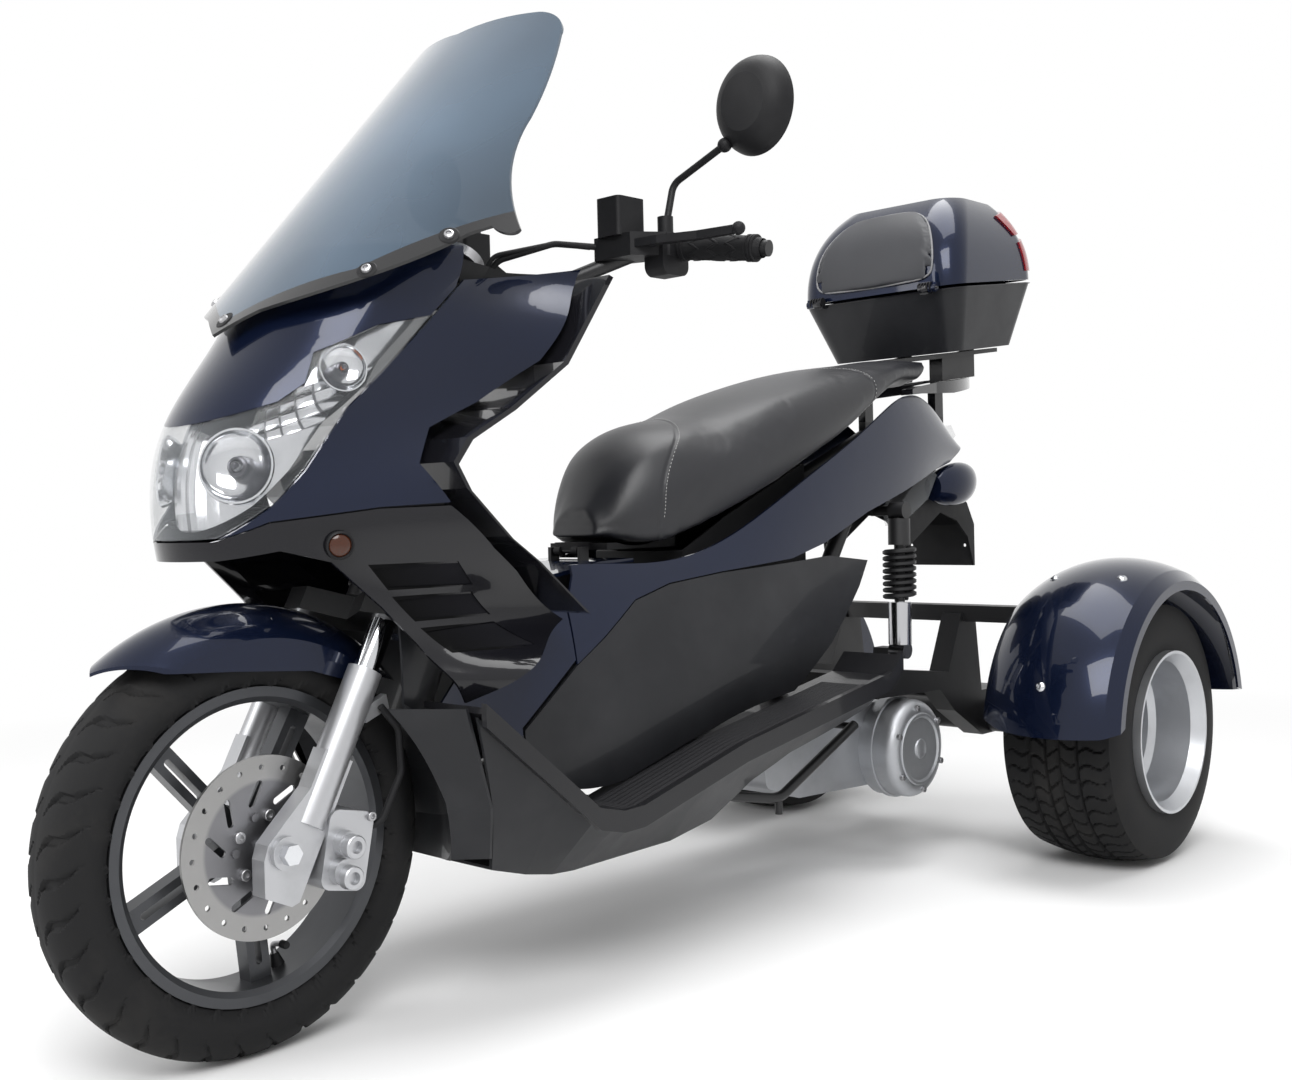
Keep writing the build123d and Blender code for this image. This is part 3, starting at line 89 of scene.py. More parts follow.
# The top case leans forward: its foot, its upright and the way ahead along its floor.
CASE_LEAN = math.radians(7.0)
CASE_FOOT = from_rear(-0.020, 0.0, 0.944)
CASE_UP = Vector((math.sin(CASE_LEAN), 0, math.cos(CASE_LEAN)))
CASE_AHEAD = Vector((math.cos(CASE_LEAN), 0, -math.sin(CASE_LEAN)))

# Screws that hold the windshield, and the way towards it.
SCREEN_WAY = Vector((-0.742, 0.0, -0.67))
SCREEN_SPOTS = [(Vector(at), SCREEN_WAY)
                for at in ((1.1, 0.0, 1.156), (1.0, 0.165, 1.195), (0.905, 0.222, 1.222))]


# ------------------------------------------------------------------ shader helpers
class Sock:
    """A shader socket that takes part in Python arithmetic; each operation adds one Math node."""

    def __init__(self, shade: "Shade", socket: bpy.types.NodeSocket) -> None:
        """Keeps the socket with the material it belongs to."""
        self.shade, self.socket = shade, socket

    def _math(self, operation: str, *values: "float | Sock") -> "Sock":
        """Adds a Math node on this socket and the given values."""
        return self.shade.node("ShaderNodeMath", {"operation": operation},
                               {i: v for i, v in enumerate((self, *values))})

    def __add__(self, other: "float | Sock") -> "Sock":
        """Sum."""
        return self._math("ADD", other)

    __radd__ = __add__

    def __mul__(self, other: "float | Sock") -> "Sock":
        """Product."""
        return self._math("MULTIPLY", other)

    __rmul__ = __mul__

    def __sub__(self, other: "float | Sock") -> "Sock":
        """Difference."""
        return self._math("SUBTRACT", other)

    def __rsub__(self, other: "float | Sock") -> "Sock":
        """Reflected difference, so that 1 - mask works."""
        return self.shade.node("ShaderNodeMath", {"operation": "SUBTRACT"}, {0: other, 1: self})

    def __truediv__(self, other: "float | Sock") -> "Sock":
        """Quotient."""
        return self._math("DIVIDE", other)

    def __gt__(self, other: "float | Sock") -> "Sock":
        """1 where this is greater."""
        return self._math("GREATER_THAN", other)

    def __lt__(self, other: "float | Sock") -> "Sock":
        """1 where this is less."""
        return self._math("LESS_THAN", other)

    def __pow__(self, other: "float | Sock") -> "Sock":
        """Power."""
        return self._math("POWER", other)

    def __abs__(self) -> "Sock":
        """Absolute value."""
        return self._math("ABSOLUTE")

    def greater(self, other: "float | Sock") -> "Sock":
        """The larger of the two."""
        return self._math("MAXIMUM", other)

    def sine(self) -> "Sock":
        """Sine."""
        return self._math("SINE")

    def fraction(self) -> "Sock":
        """Fractional part."""
        return self._math("FRACT")

    def ramp(self, low: float, high: float) -> "Sock":
        """Runs from 0 at low to 1 at high, and stays there."""
        return self.shade.node("ShaderNodeMapRange", {"clamp": True},
                               {"Value": self, "From Min": low, "From Max": high})


class Shade:
    """One material under construction, with the nodes that its finish asks for."""

    def __init__(self, name: str) -> None:
        """Starts a material with a bare Principled shader."""
        self.material = bpy.data.materials.new(name)
        self.material.use_nodes = True
        self.tree = self.material.node_tree
        self.tree.nodes.clear()
        self.output = self.tree.nodes.new("ShaderNodeOutputMaterial")
        self.shader = self.tree.nodes.new("ShaderNodeBsdfPrincipled")
        self.tree.links.new(self.shader.outputs[0], self.output.inputs["Surface"])

    def node(self, kind: str, settings: dict, inputs: dict, output: int | str = 0) -> Sock:
        """Adds any node.

        Args:
            kind: The node's type.
            settings: Its properties, set first.
            inputs: Values or links by socket name or number.
            output: The output socket to return.

        Returns:
            That output, ready for arithmetic.
        """
        made = self.tree.nodes.new(kind)
        for key, value in settings.items():
            setattr(made, key, value)
        for key, value in inputs.items():
            self.feed(made.inputs[key], value)
        return Sock(self, made.outputs[output])

    def feed(self, socket: bpy.types.NodeSocket, value: object) -> None:
        """Links or sets one socket."""
        if isinstance(value, Sock):
            self.tree.links.new(value.socket, socket)
        elif hasattr(socket.default_value, "__len__") and not hasattr(value, "__len__"):
            socket.default_value = [value] * len(socket.default_value)
        elif hasattr(socket.default_value, "__len__") and len(socket.default_value) == 4 and len(value) == 3:
            socket.default_value = (*value, 1.0)
        else:
            socket.default_value = value

    def set(self, **values: object) -> None:
        """Feeds the Principled shader's sockets; underscores stand for spaces."""
        for key, value in values.items():
            self.feed(self.shader.inputs[key.replace("_", " ")], value)

    def place(self) -> Sock:
        """Object coordinates."""
        return self.node("ShaderNodeTexCoord", {}, {}, "Object")

    def axes(self, vector: Sock) -> tuple[Sock, Sock, Sock]:
        """The three components of a vector."""
        split = self.node("ShaderNodeSeparateXYZ", {}, {0: vector})
        return split, Sock(self, split.socket.node.outputs[1]), Sock(self, split.socket.node.outputs[2])

    def noise(self, scale: float, detail: float = 3.0, rough: float = 0.5, vector: Sock | None = None) -> Sock:
        """Noise over Object coordinates or another vector."""
        return self.node("ShaderNodeTexNoise", {},
                         {"Vector": vector or self.place(), "Scale": scale, "Detail": detail,
                                                    "Roughness": rough})

    def cells(self, scale: float, feature: str = "F1") -> Sock:
        """Distance pattern of scattered cells."""
        return self.node("ShaderNodeTexVoronoi", {"feature": feature}, {"Vector": self.place(), "Scale": scale},
                         "Distance")

    def blend(self, mask: "float | Sock", low: Sequence[float] | Sock, high: Sequence[float] | Sock) -> Sock:
        """Mixes two colours by a mask."""
        mix = self.tree.nodes.new("ShaderNodeMix")
        mix.data_type = "RGBA"
        self.feed(mix.inputs[0], mask)
        self.feed(mix.inputs[6], low)
        self.feed(mix.inputs[7], high)
        return Sock(self, mix.outputs[2])

    def bump(self, height: Sock, distance: float, strength: float = 1.0) -> Sock:
        """Turns a height pattern into a normal."""
        return self.node("ShaderNodeBump", {}, {"Height": height, "Distance": distance, "Strength": strength},
                         "Normal")


# ------------------------------------------------------------------ finishes
@dataclass(frozen=True)
class Paint:
    """Sprayed colour under a clear coat, with fine flakes and slight orange peel."""

    name: str
    color: tuple[float, float, float]
    flake: tuple[float, float, float]
    rough: float = 0.22
    coat: float = 1.0
    metal: float = 0.35

    def build(self) -> bpy.types.Material:
        """Makes the material."""
        s = Shade(self.name)
        flakes = s.cells(1400.0).ramp(0.0, 0.5)
        cloud_tone_and_reflection = s.noise(3.0, 2.0)
        s.set(Base_Color=s.blend(flakes * 0.5 + cloud_tone_and_reflection * 0.3, self.flake, self.color),
              Roughness=self.rough + s.noise(26.0, 4.0) * 0.06, Metallic=self.metal, Coat_Weight=self.coat,
              Coat_Roughness=0.03, Coat_IOR=1.33, Specular_IOR_Level=0.1,
              Normal=s.bump(s.noise(210.0, 2.0), 0.00012, 0.35))
        return s.material


@dataclass(frozen=True)
class VentedPanel:
    """Black gloss panel with three pressed vents, deepest at their front edge; painted shade darkens each vent towards
    that edge and along a thin outline round it.
    """

    name: str
    vents: int = 3
    back_by: float = 0.036
    drop: float = 0.040

    def build(self) -> bpy.types.Material:
        """Makes the material."""
        s = Shade(self.name)
        x, y, z = s.axes(s.place())
        ahead, depth, rim, dull = x - FRONT_X, None, None, None
        for number in range(self.vents):
            dx, dz = ahead + self.back_by * number, z + self.drop * number
            front = dz * 0.958 - (0.099 + 0.587 * 0.958)
            back = dz * 1.097 - (0.208 + 0.592 * 1.097)
            inside = (dz > 0.5625) * (dz < 0.5895) * (dx < front) * (dx > back)
            # Vent depth for the bump, also painted shade: the colour darkens towards each vent's front edge.
            vent_depth_and_shade = inside * ((dx - back) / (front - back)).ramp(0.15, 1.0)
            # Thin outline round each vent, painted dark as shade along its edges and fading towards the back.
            lines = (dz > 0.5600) * (dz < 0.5920) * (dx < front + 0.003) * (dx > back) * (1.0 - inside)
            lines = lines * ((dx - back) / (front - back)).ramp(0.1, 0.5)
            depth, rim, dull = (vent_depth_and_shade, lines, inside) if dull is None else (depth + vent_depth_and_shade, rim + lines, dull + inside)
        side = abs(y) > 0.08
        depth, rim, dull = depth * side, rim * side, dull * side
        # Painted shade: the vents and their outlines take a near-black colour.
        s.set(Base_Color=s.blend(depth + rim, (0.0065, 0.0065, 0.0085), (0.0008, 0.0008, 0.001)),
              Roughness=s.noise(26.0, 4.0) * 0.05 + 0.16 + (dull + rim) * 0.6, Coat_Weight=1.0 - (dull + rim) * 0.97,
              Coat_Roughness=0.04, Coat_IOR=1.33, Specular_IOR_Level=0.1,
              Normal=s.bump(s.noise(210.0, 2.0) * 0.05 - depth, 0.002, 0.6))
        return s.material


@dataclass(frozen=True)
class Damper:
    """Shock absorber body: black round the spring, bright plated tube below it."""

    name: str
    split: float

    def build(self) -> bpy.types.Material:
        """Makes the material."""
        s = Shade(self.name)
        black = s.axes(s.place())[2] > self.split
        wear = s.noise(18.0, 5.0, 0.6)
        s.set(Base_Color=s.blend(black, s.blend(wear * 0.4, (0.56, 0.56, 0.58), (0.4, 0.4, 0.42)),
                                 (0.01, 0.01, 0.011)),
              Metallic=1.0 - black * 0.9, Roughness=wear * 0.1 + 0.12 + black * 0.25,
              Normal=s.bump(wear, 0.0001, 0.4))
        return s.material


@dataclass(frozen=True)
class Reflector:
    """Bright reflector shell behind the lens: fluted, faceted towards the top, dark between its two bowls."""

    name: str

    def build(self) -> bpy.types.Material:
        """Makes the material."""
        s = Shade(self.name)
        x, y, z = s.axes(s.place())
        ahead, side = x - FRONT_X, abs(y)
        level = z + ahead * 0.3
        step = (level > 0.742) * (level < 0.792) * (side > 0.075)
        cols, rows = (side * 95.0 + z * 20.0).fraction(), ((z + ahead * 0.4) * 80.0).fraction()
        facet = (cols - 0.5) * (cols - 0.5) + (rows - 0.5) * (rows - 0.5)
        seam = ((cols < 0.14) + (rows < 0.14)).ramp(0.0, 1.0) * step
        flute = ((side * 60.0).fraction() - 0.5) ** 2.0
        lip = (z < 0.638) + (side < 0.004)
        dark = (seam * 0.8 + lip * 0.75).ramp(0.0, 1.0)
        smoke = s.noise(9.0, 4.0, 0.6).ramp(0.45, 0.8)
        s.set(Base_Color=s.blend(dark, s.blend(smoke, (0.6, 0.61, 0.63), (0.36, 0.37, 0.39)), (0.05, 0.05, 0.055)),
              Metallic=0.92, Roughness=smoke * 0.12 + 0.14 + dark * 0.2,
              Normal=s.bump(facet * step * 2.0 + flute * (1.0 - step) * 0.8, 0.004, 0.7))
        return s.material


@dataclass(frozen=True)
class Moulding:
    """Moulded plastic with a fine leathery grain and rubbed, slightly greyer patches."""

    name: str
    color: tuple[float, float, float]
    rough: float = 0.5
    grain: float = 0.00012
    scale: float = 900.0
    coat: float = 0.0

    def build(self) -> bpy.types.Material:
        """Makes the material."""
        s = Shade(self.name)
        rub = s.noise(7.0, 5.0, 0.6).ramp(0.42, 0.75)
        pale = tuple(min(1.0, c * 1.5 + 0.012) for c in self.color)
        s.set(Base_Color=s.blend(rub * 0.5, self.color, pale),
              Roughness=self.rough + s.noise(40.0, 3.0) * 0.12 - rub * 0.06,
              Coat_Weight=self.coat, Coat_IOR=1.3, Specular_IOR_Level=0.22,
              Normal=s.bump(s.cells(self.scale), self.grain, 0.7))
        return s.material


@dataclass(frozen=True)
class Rubber:
    """Rubber with dull mottling and a dusting of dirt."""

    name: str
    color: tuple[float, float, float] = (0.009, 0.009, 0.0095)
    dust: tuple[float, float, float] = (0.05, 0.047, 0.043)
    rough: float = 0.72

    def build(self) -> bpy.types.Material:
        """Makes the material."""
        s = Shade(self.name)
        dirt = s.noise(9.0, 6.0, 0.65).ramp(0.5, 0.8)
        s.set(Base_Color=s.blend(dirt * 0.35, self.color, self.dust), Roughness=self.rough + dirt * 0.15,
              Specular_IOR_Level=0.2,
              Normal=s.bump(s.noise(420.0, 3.0), 0.00025, 0.6))
        return s.material


@dataclass(frozen=True)
class Metal:
    """Bare or plated metal; brushed turns a fine lengthwise grain on, cast a grainy skin."""

    name: str
    color: tuple[float, float, float]
    rough: float = 0.3
    brushed: float = 0.0
    cast: float = 0.0
    metal: float = 1.0

    def build(self) -> bpy.types.Material:
        """Makes the material."""
        s = Shade(self.name)
        stain = s.noise(14.0, 6.0, 0.6).ramp(0.5, 0.85)
        place = s.place()
        fine = s.node("ShaderNodeMapping", {}, {"Vector": place, "Scale": (30.0, 900.0, 900.0)})
        lines = s.noise(1.0, 3.0, 0.5, fine)
        grain = s.noise(520.0, 4.0, 0.6)
        dark = tuple(c * 0.72 for c in self.color)
        s.set(Base_Color=s.blend(stain * 0.6, self.color, dark), Metallic=self.metal,
              Roughness=self.rough + stain * 0.12 + lines * (0.14 * self.brushed),
              Normal=s.bump(lines * self.brushed + grain * self.cast,
                            0.0003 * max(self.brushed * 0.2, self.cast, 0.05), 0.5))
        return s.material


@dataclass(frozen=True)
class TurnedSteel:
    """Brake disc steel, turned in fine circles round the front axle and polished where the pads run."""

    name: str
    centre: Vector

    def build(self) -> bpy.types.Material:
        """Makes the material."""
        s = Shade(self.name)
        x, _, z = s.axes(s.place())
        dx, dz = x - self.centre.x, z - self.centre.z
        radius = (dx * dx + dz * dz) ** 0.5
        rings = (radius * 5200.0).sine() * 0.5 + 0.5
        track = radius.ramp(0.078, 0.083)
        wear = s.noise(60.0, 4.0)
        s.set(Base_Color=s.blend(track, (0.2, 0.2, 0.21), (0.3, 0.298, 0.295)), Metallic=1.0,
              Roughness=0.34 - track * 0.08 + wear * 0.12 + rings * 0.05,
              Normal=s.bump(rings * 0.4 + wear * 0.3, 0.00006, 0.5))
        return s.material


@dataclass(frozen=True)
class Clear:
    """Clear moulded plastic or glass, seen through, with a polished face and faint waves."""

    name: str
    tint: tuple[float, float, float]
    alpha: float
    rough: float = 0.04
    ribs: float = 0.0

    def build(self) -> bpy.types.Material:
        """Makes the material."""
        s = Shade(self.name)
        edge = s.node("ShaderNodeLayerWeight", {}, {"Blend": 0.35}, "Facing")
        smear = s.noise(6.0, 5.0, 0.6)
        y = s.axes(s.place())[1]
        wave = (y * 900.0).sine() * self.ribs + s.noise(12.0, 2.0) * 0.4
        s.set(Base_Color=s.blend(smear * 0.3, self.tint, tuple(min(1.0, c * 1.1) for c in self.tint)),
              Alpha=self.alpha + edge * (0.75 - self.alpha) * 0.45, Roughness=self.rough + smear * 0.03,
              Coat_Weight=1.0,
              Normal=s.bump(wave, 0.0004 if self.ribs else 0.0001, 0.3))
        s.material.surface_render_method = "BLENDED"
        return s.material


@dataclass(frozen=True)
class Vinyl:
    """Seat vinyl: a fine pebbled grain, soft sheen and faint creases."""

    name: str
    color: tuple[float, float, float]
    pale: tuple[float, float, float]
    rough: float = 0.4

    def build(self) -> bpy.types.Material:
        """Makes the material."""
        s = Shade(self.name)
        mottle = s.noise(5.0, 5.0, 0.6)
        pebble = s.cells(760.0)
        s.set(Base_Color=s.blend(mottle.ramp(0.35, 0.8), self.color, self.pale), Roughness=self.rough + mottle * 0.14,
              Specular_IOR_Level=0.5,
              Normal=s.bump(pebble * 0.6 + s.noise(38.0, 4.0) * 1.6, 0.0002, 0.6))
        return s.material


@dataclass(frozen=True)
class Screen:
    """Smoked windshield: a see-through tinted sheet with an opaque black band along its lower edge, painted reflection
    in lighter cloudy patches and painted shade towards its sides.
    """

    name: str
    foot: Vector
    lean: float
    tint: tuple[float, float, float] = (0.042, 0.068, 0.1)
    alpha: float = 0.83
    band: float = 0.022

    def build(self) -> bpy.types.Material:
        """Makes the material."""
        s = Shade(self.name)
        x, y, z = s.axes(s.place())
        up = (x - self.foot.x) * -math.cos(self.lean) + (z - self.foot.z) * math.sin(self.lean)
        across = abs(y)
        edge = (across * 0.65 - 0.044).greater(across * 1.4 - 0.157)
        border = up < edge + self.band
        facing = s.node("ShaderNodeLayerWeight", {}, {"Blend": 0.3}, "Facing")
        smear = s.noise(5.0, 5.0, 0.6)
        # Painted reflection: soft patches where the tint turns lighter.
        cloud_tone_and_reflection = s.noise(2.3, 3.0, 0.55).ramp(0.35, 0.75)
        shade = s.blend(cloud_tone_and_reflection, self.tint, tuple(c * 1.7 for c in self.tint))
        # Painted shade: the glass darkens towards its sides.
        glass = s.blend(across.ramp(0.1, 0.27) * 0.55, shade, tuple(c * 0.35 for c in self.tint))
        clear = facing * 0.1 + self.alpha + smear * 0.05
        s.set(Base_Color=s.blend(border, glass, (0.008, 0.008, 0.009)), Alpha=clear + border * (1.0 - clear),
              Roughness=smear * 0.03 + 0.03 + border * 0.25, Coat_Weight=1.0, Coat_IOR=1.35, Specular_IOR_Level=0.25,
              Normal=s.bump(s.noise(9.0, 2.0), 0.0001, 0.2))
        s.material.surface_render_method = "BLENDED"
        return s.material


@dataclass(frozen=True)
class FloorMat:
    """Black moulding with the rubber tread strips that run along the foot space."""

    name: str
    inner: float = 0.152
    outer: float = 0.226

    def build(self) -> bpy.types.Material:
        """Makes the material."""
        s = Shade(self.name)
        x, y, z = s.axes(s.place())
        side = abs(y)
        mat = (side > self.inner) * (side < self.outer) * (x > -0.2) * (x < 0.36)
        rib = ((side - self.inner) * 100.0).fraction().ramp(0.25, 0.45) * mat
        rub = s.noise(8.0, 5.0, 0.6).ramp(0.4, 0.8)
        s.set(Base_Color=s.blend(mat * 0.7 + rub * 0.2, (0.008, 0.008, 0.0095), (0.02, 0.02, 0.022)),
              Roughness=mat * 0.32 + 0.3 + rub * 0.1, Coat_Weight=0.4 - mat * 0.4, Coat_IOR=1.3,
              Specular_IOR_Level=0.22,
              Normal=s.bump(rib * 3.0 + s.cells(900.0) * 0.15, 0.0012, 0.8))
        return s.material


class Finish(Enum):
    """Every finish on the trike."""

    NAVY = Paint("navy_paint", (0.0022, 0.0038, 0.013), (0.0085, 0.0155, 0.044), 0.22, 1.0, 0.45)
    BLACK_GLOSS = Paint("black_gloss", (0.005, 0.005, 0.0065), (0.01, 0.01, 0.0125), 0.2, 1.0, 0.0)
    VENTED = VentedPanel("vented_black")
    CHARCOAL = Moulding("charcoal_moulding", (0.011, 0.0115, 0.0135), 0.36, 0.0001, 1100.0, 0.25)
    BLACK_PLASTIC = Moulding("black_moulding", (0.007, 0.007, 0.008), 0.48)
    TREAD = Rubber("tyre_rubber")
    GRIP = Rubber("grip_rubber", (0.009, 0.009, 0.01), (0.03, 0.03, 0.03), 0.6)
    SILVER = Metal("silver_wheel", (0.5, 0.51, 0.53), 0.3, 0.6, 0.15, 0.9)
    GUNMETAL = Metal("gunmetal_wheel", (0.06, 0.062, 0.067), 0.36, 0.0, 0.3, 0.7)
    FORK = Metal("fork_silver", (0.44, 0.445, 0.46), 0.34, 0.0, 0.2, 0.75)
    CAST = Metal("cast_engine", (0.42, 0.43, 0.45), 0.42, 0.0, 1.0, 0.85)
    STEEL = Metal("satin_steel", (0.4, 0.4, 0.41), 0.32, 1.0)
    CHROME = Metal("chrome", (0.6, 0.61, 0.63), 0.08)
    BRIGHT = Metal("lamp_chrome", (0.66, 0.67, 0.69), 0.1)
    LAMP_BOWL = Reflector("lamp_bowl")
    BLACK_METAL = Metal("black_frame", (0.009, 0.009, 0.01), 0.4, 0.0, 0.4, 0.2)
    DAMPER = Damper("damper", SPRING_FOOT)
    DISC = TurnedSteel("disc_steel", FRONT_AXLE)
    LENS = Clear("lamp_lens", (0.34, 0.36, 0.38), 0.05, 0.02, 0.0)
    SCREEN = Screen("screen", from_front(-0.017, 0.0, 0.902), math.radians(47.9))
    BULB = Clear("bulb_glass", (0.6, 0.62, 0.65), 0.3, 0.02)
    AMBER = Clear("amber_bulb", (0.6, 0.12, 0.01), 0.9, 0.08)
    AMBER_LENS = Moulding("amber_lens", (0.045, 0.011, 0.003), 0.14, 0.0001, 300.0, 1.0)
    DIAL = Moulding("dial_face", (0.012, 0.012, 0.014), 0.3, 0.00005, 900.0, 1.0)
    SOCKET = Metal("lamp_socket", (0.09, 0.09, 0.1), 0.3)
    FLOOR = FloorMat("floor_mat")
    PIPING = Moulding("pale_piping", (0.2, 0.2, 0.205), 0.4, 0.0001, 3000.0)
    THREAD = Moulding("white_thread", (0.45, 0.45, 0.44), 0.6, 0.0001, 3000.0)
    RED_LENS = Clear("red_lens", (0.28, 0.003, 0.008), 0.9, 0.1, 1.0)
    SEAT = Vinyl("seat_vinyl", (0.008, 0.0083, 0.0105), (0.013, 0.0137, 0.0175), 0.34)
    CASE_PAD = Vinyl("case_vinyl", (0.021, 0.022, 0.026), (0.034, 0.035, 0.04), 0.46)
    MIRROR = Metal("mirror_face", (0.8, 0.81, 0.82), 0.02)


_BUILT: dict[Finish, bpy.types.Material] = {}


def material(finish: Finish) -> bpy.types.Material:
    """The finish's material, built once."""
    if finish not in _BUILT:
        _BUILT[finish] = finish.value.build()
    return _BUILT[finish]


# ------------------------------------------------------------------ mesh helpers
def shown(name: str, data: bpy.types.ID) -> bpy.types.Object:
    """Puts data into the scene as an object of its own."""
    made = bpy.data.objects.new(name, data)
    bpy.context.scene.collection.objects.link(made)
    return made


def piece(name: str, mesh_maker: bmesh.types.BMesh, finish: Finish, body: str,
          smooth: float = 35.0) -> bpy.types.Object:
    """Turns a bmesh into a finished object that rides on a body.

    Args:
        name: The piece's name.
        mesh_maker: The bmesh, which is freed.
        finish: Its finish.
        body: The body it rides on.
        smooth: Edges under this angle in degrees are shaded smooth.

    Returns:
        The object.
    """
    bmesh.ops.remove_doubles(mesh_maker, verts=mesh_maker.verts, dist=1e-5)
    bmesh.ops.recalc_face_normals(mesh_maker, faces=mesh_maker.faces)
    mesh = bpy.data.meshes.new(name)
    mesh_maker.to_mesh(mesh)
    mesh_maker.free()
    mesh.materials.append(material(finish))
    made = shown(name, mesh)
    mesh.shade_smooth()
    mesh.set_sharp_from_angle(angle=math.radians(smooth))
    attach(made, body)
    return made


def dress(node: str, finish: Finish) -> None:
    """Gives a CAD node its finish."""
    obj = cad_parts.get(node)
    if obj is None:
        LOG.warning("no node %s", node)
        return
    obj.data.materials.clear()
    obj.data.materials.append(material(finish))
    LOG.info("%s: %s", node, finish.name)


# ------------------------------------------------------------------ stage
@dataclass
class Studio:
    """Camera, floor and lamps."""

    focal_px: float = 1435.684
    centre: tuple[float, float] = (565.973, 540.931)
    size: tuple[int, int] = (1292, 1080)
    eye: Vector = field(default_factory=lambda: Vector((1.7529, 1.52025, 0.64823)))
    yaw: float = 2.356
    pitch: float = 0.020
    roll: float = -0.026

    def camera(self) -> None:
        """Sets up the camera at the viewing angle."""
        a, e = self.yaw, self.pitch
        z = Vector((math.sin(a) * math.cos(e), -math.cos(a) * math.cos(e), math.sin(e)))
        x = Vector((0, 0, 1)).cross(z).normalized()
        y = z.cross(x)
        c, s = math.cos(self.roll), math.sin(self.roll)
        right, up = c * x + s * y, -s * x + c * y
        width, height = self.size
        data = bpy.data.cameras.new("camera")
        data.sensor_width = 36.0
        data.lens = self.focal_px / width * 36.0
        data.shift_x = (width / 2 - self.centre[0]) / width
        data.shift_y = (self.centre[1] - height / 2) / width
        data.clip_end = 60.0
        obj = shown("camera", data)
        obj.matrix_world = Matrix(((right.x, up.x, z.x, self.eye.x), (right.y, up.y, z.y, self.eye.y),
                                   (right.z, up.z, z.z, self.eye.z), (0, 0, 0, 1)))
        bpy.context.scene.camera = obj

    def floor(self) -> None:
        """A plain pale floor that keeps the shadow."""
        made = bmesh.new()
        bmesh.ops.create_grid(made, x_segments=1, y_segments=1, size=30.0)
        mesh = bpy.data.meshes.new("floor")
        made.to_mesh(mesh)
        made.free()
        s = Shade("floor")
        s.set(Base_Color=(0.86, 0.86, 0.86), Roughness=0.9, Specular_IOR_Level=0.1)
        x, y, _ = s.axes(s.place())
        far = ((x * x + y * y) ** 0.5).ramp(1.1, 3.2)
        seen = s.node("ShaderNodeLightPath", {}, {}, "Is Camera Ray")
        seen = seen.greater(s.node("ShaderNodeLightPath", {}, {}, "Is Glossy Ray"))
        pale = s.node("ShaderNodeEmission", {}, {"Color": (1, 1, 1), "Strength": 1.0})
        both = s.node("ShaderNodeMixShader", {}, {0: far * seen, 1: Sock(s, s.shader.outputs[0]), 2: pale})
        s.tree.links.new(both.socket, s.output.inputs["Surface"])
        mesh.materials.append(s.material)
        obj = shown("floor", mesh)

    def lamp(self, name: str, at: tuple[float, float, float], aim: tuple[float, float, float],
             size: tuple[float, float], power: float) -> None:
        """Adds one soft lamp.

        Args:
            name: Its name.
            at: Where it stands.
            aim: Where it points.
            size: Width and height.
            power: Watts.
        """
        data = bpy.data.lights.new(name, "AREA")
        data.shape, data.size, data.size_y, data.energy = "RECTANGLE", *size, power
        obj = shown(name, data)
        obj.location = at
        obj.rotation_euler = (Vector(aim) - Vector(at)).to_track_quat("-Z", "Y").to_euler()

    def light(self) -> None:
        """A pale room with three soft lamps."""
        world = bpy.data.worlds.new("room")
        world.use_nodes = True
        tree = world.node_tree
        tree.nodes.clear()
        out = tree.nodes.new("ShaderNodeOutputWorld")
        room, backdrop = tree.nodes.new("ShaderNodeBackground"), tree.nodes.new("ShaderNodeBackground")
        room.inputs[0].default_value, room.inputs[1].default_value = (1, 1, 1, 1), 0.55
        backdrop.inputs[0].default_value, backdrop.inputs[1].default_value = (1, 1, 1, 1), 1.0
        path, mix = tree.nodes.new("ShaderNodeLightPath"), tree.nodes.new("ShaderNodeMixShader")
        first, second = tree.nodes.new("ShaderNodeMath"), tree.nodes.new("ShaderNodeMath")
        first.operation = second.operation = "MAXIMUM"
        tree.links.new(path.outputs["Is Camera Ray"], first.inputs[0])
        tree.links.new(path.outputs["Is Glossy Ray"], first.inputs[1])
        tree.links.new(first.outputs[0], second.inputs[0])
        tree.links.new(path.outputs["Is Transmission Ray"], second.inputs[1])
        tree.links.new(second.outputs[0], mix.inputs[0])
        tree.links.new(room.outputs[0], mix.inputs[1])
        tree.links.new(backdrop.outputs[0], mix.inputs[2])
        tree.links.new(mix.outputs[0], out.inputs[0])
        bpy.context.scene.world = world
        self.lamp("key", (2.6, 2.4, 3.4), (0.1, 0.0, 0.4), (2.6, 2.0), 150.0)
        self.lamp("front", (3.6, -1.6, 1.6), (0.5, 0.0, 0.6), (1.6, 2.4), 60.0)
        self.lamp("top", (-0.6, 0.2, 3.8), (-0.2, 0.0, 0.5), (3.0, 2.0), 90.0)

    def build(self) -> None:
        """Makes the whole stage."""
        bpy.context.scene.view_settings.view_transform = "Standard"
        self.camera()
        self.floor()
        self.light()


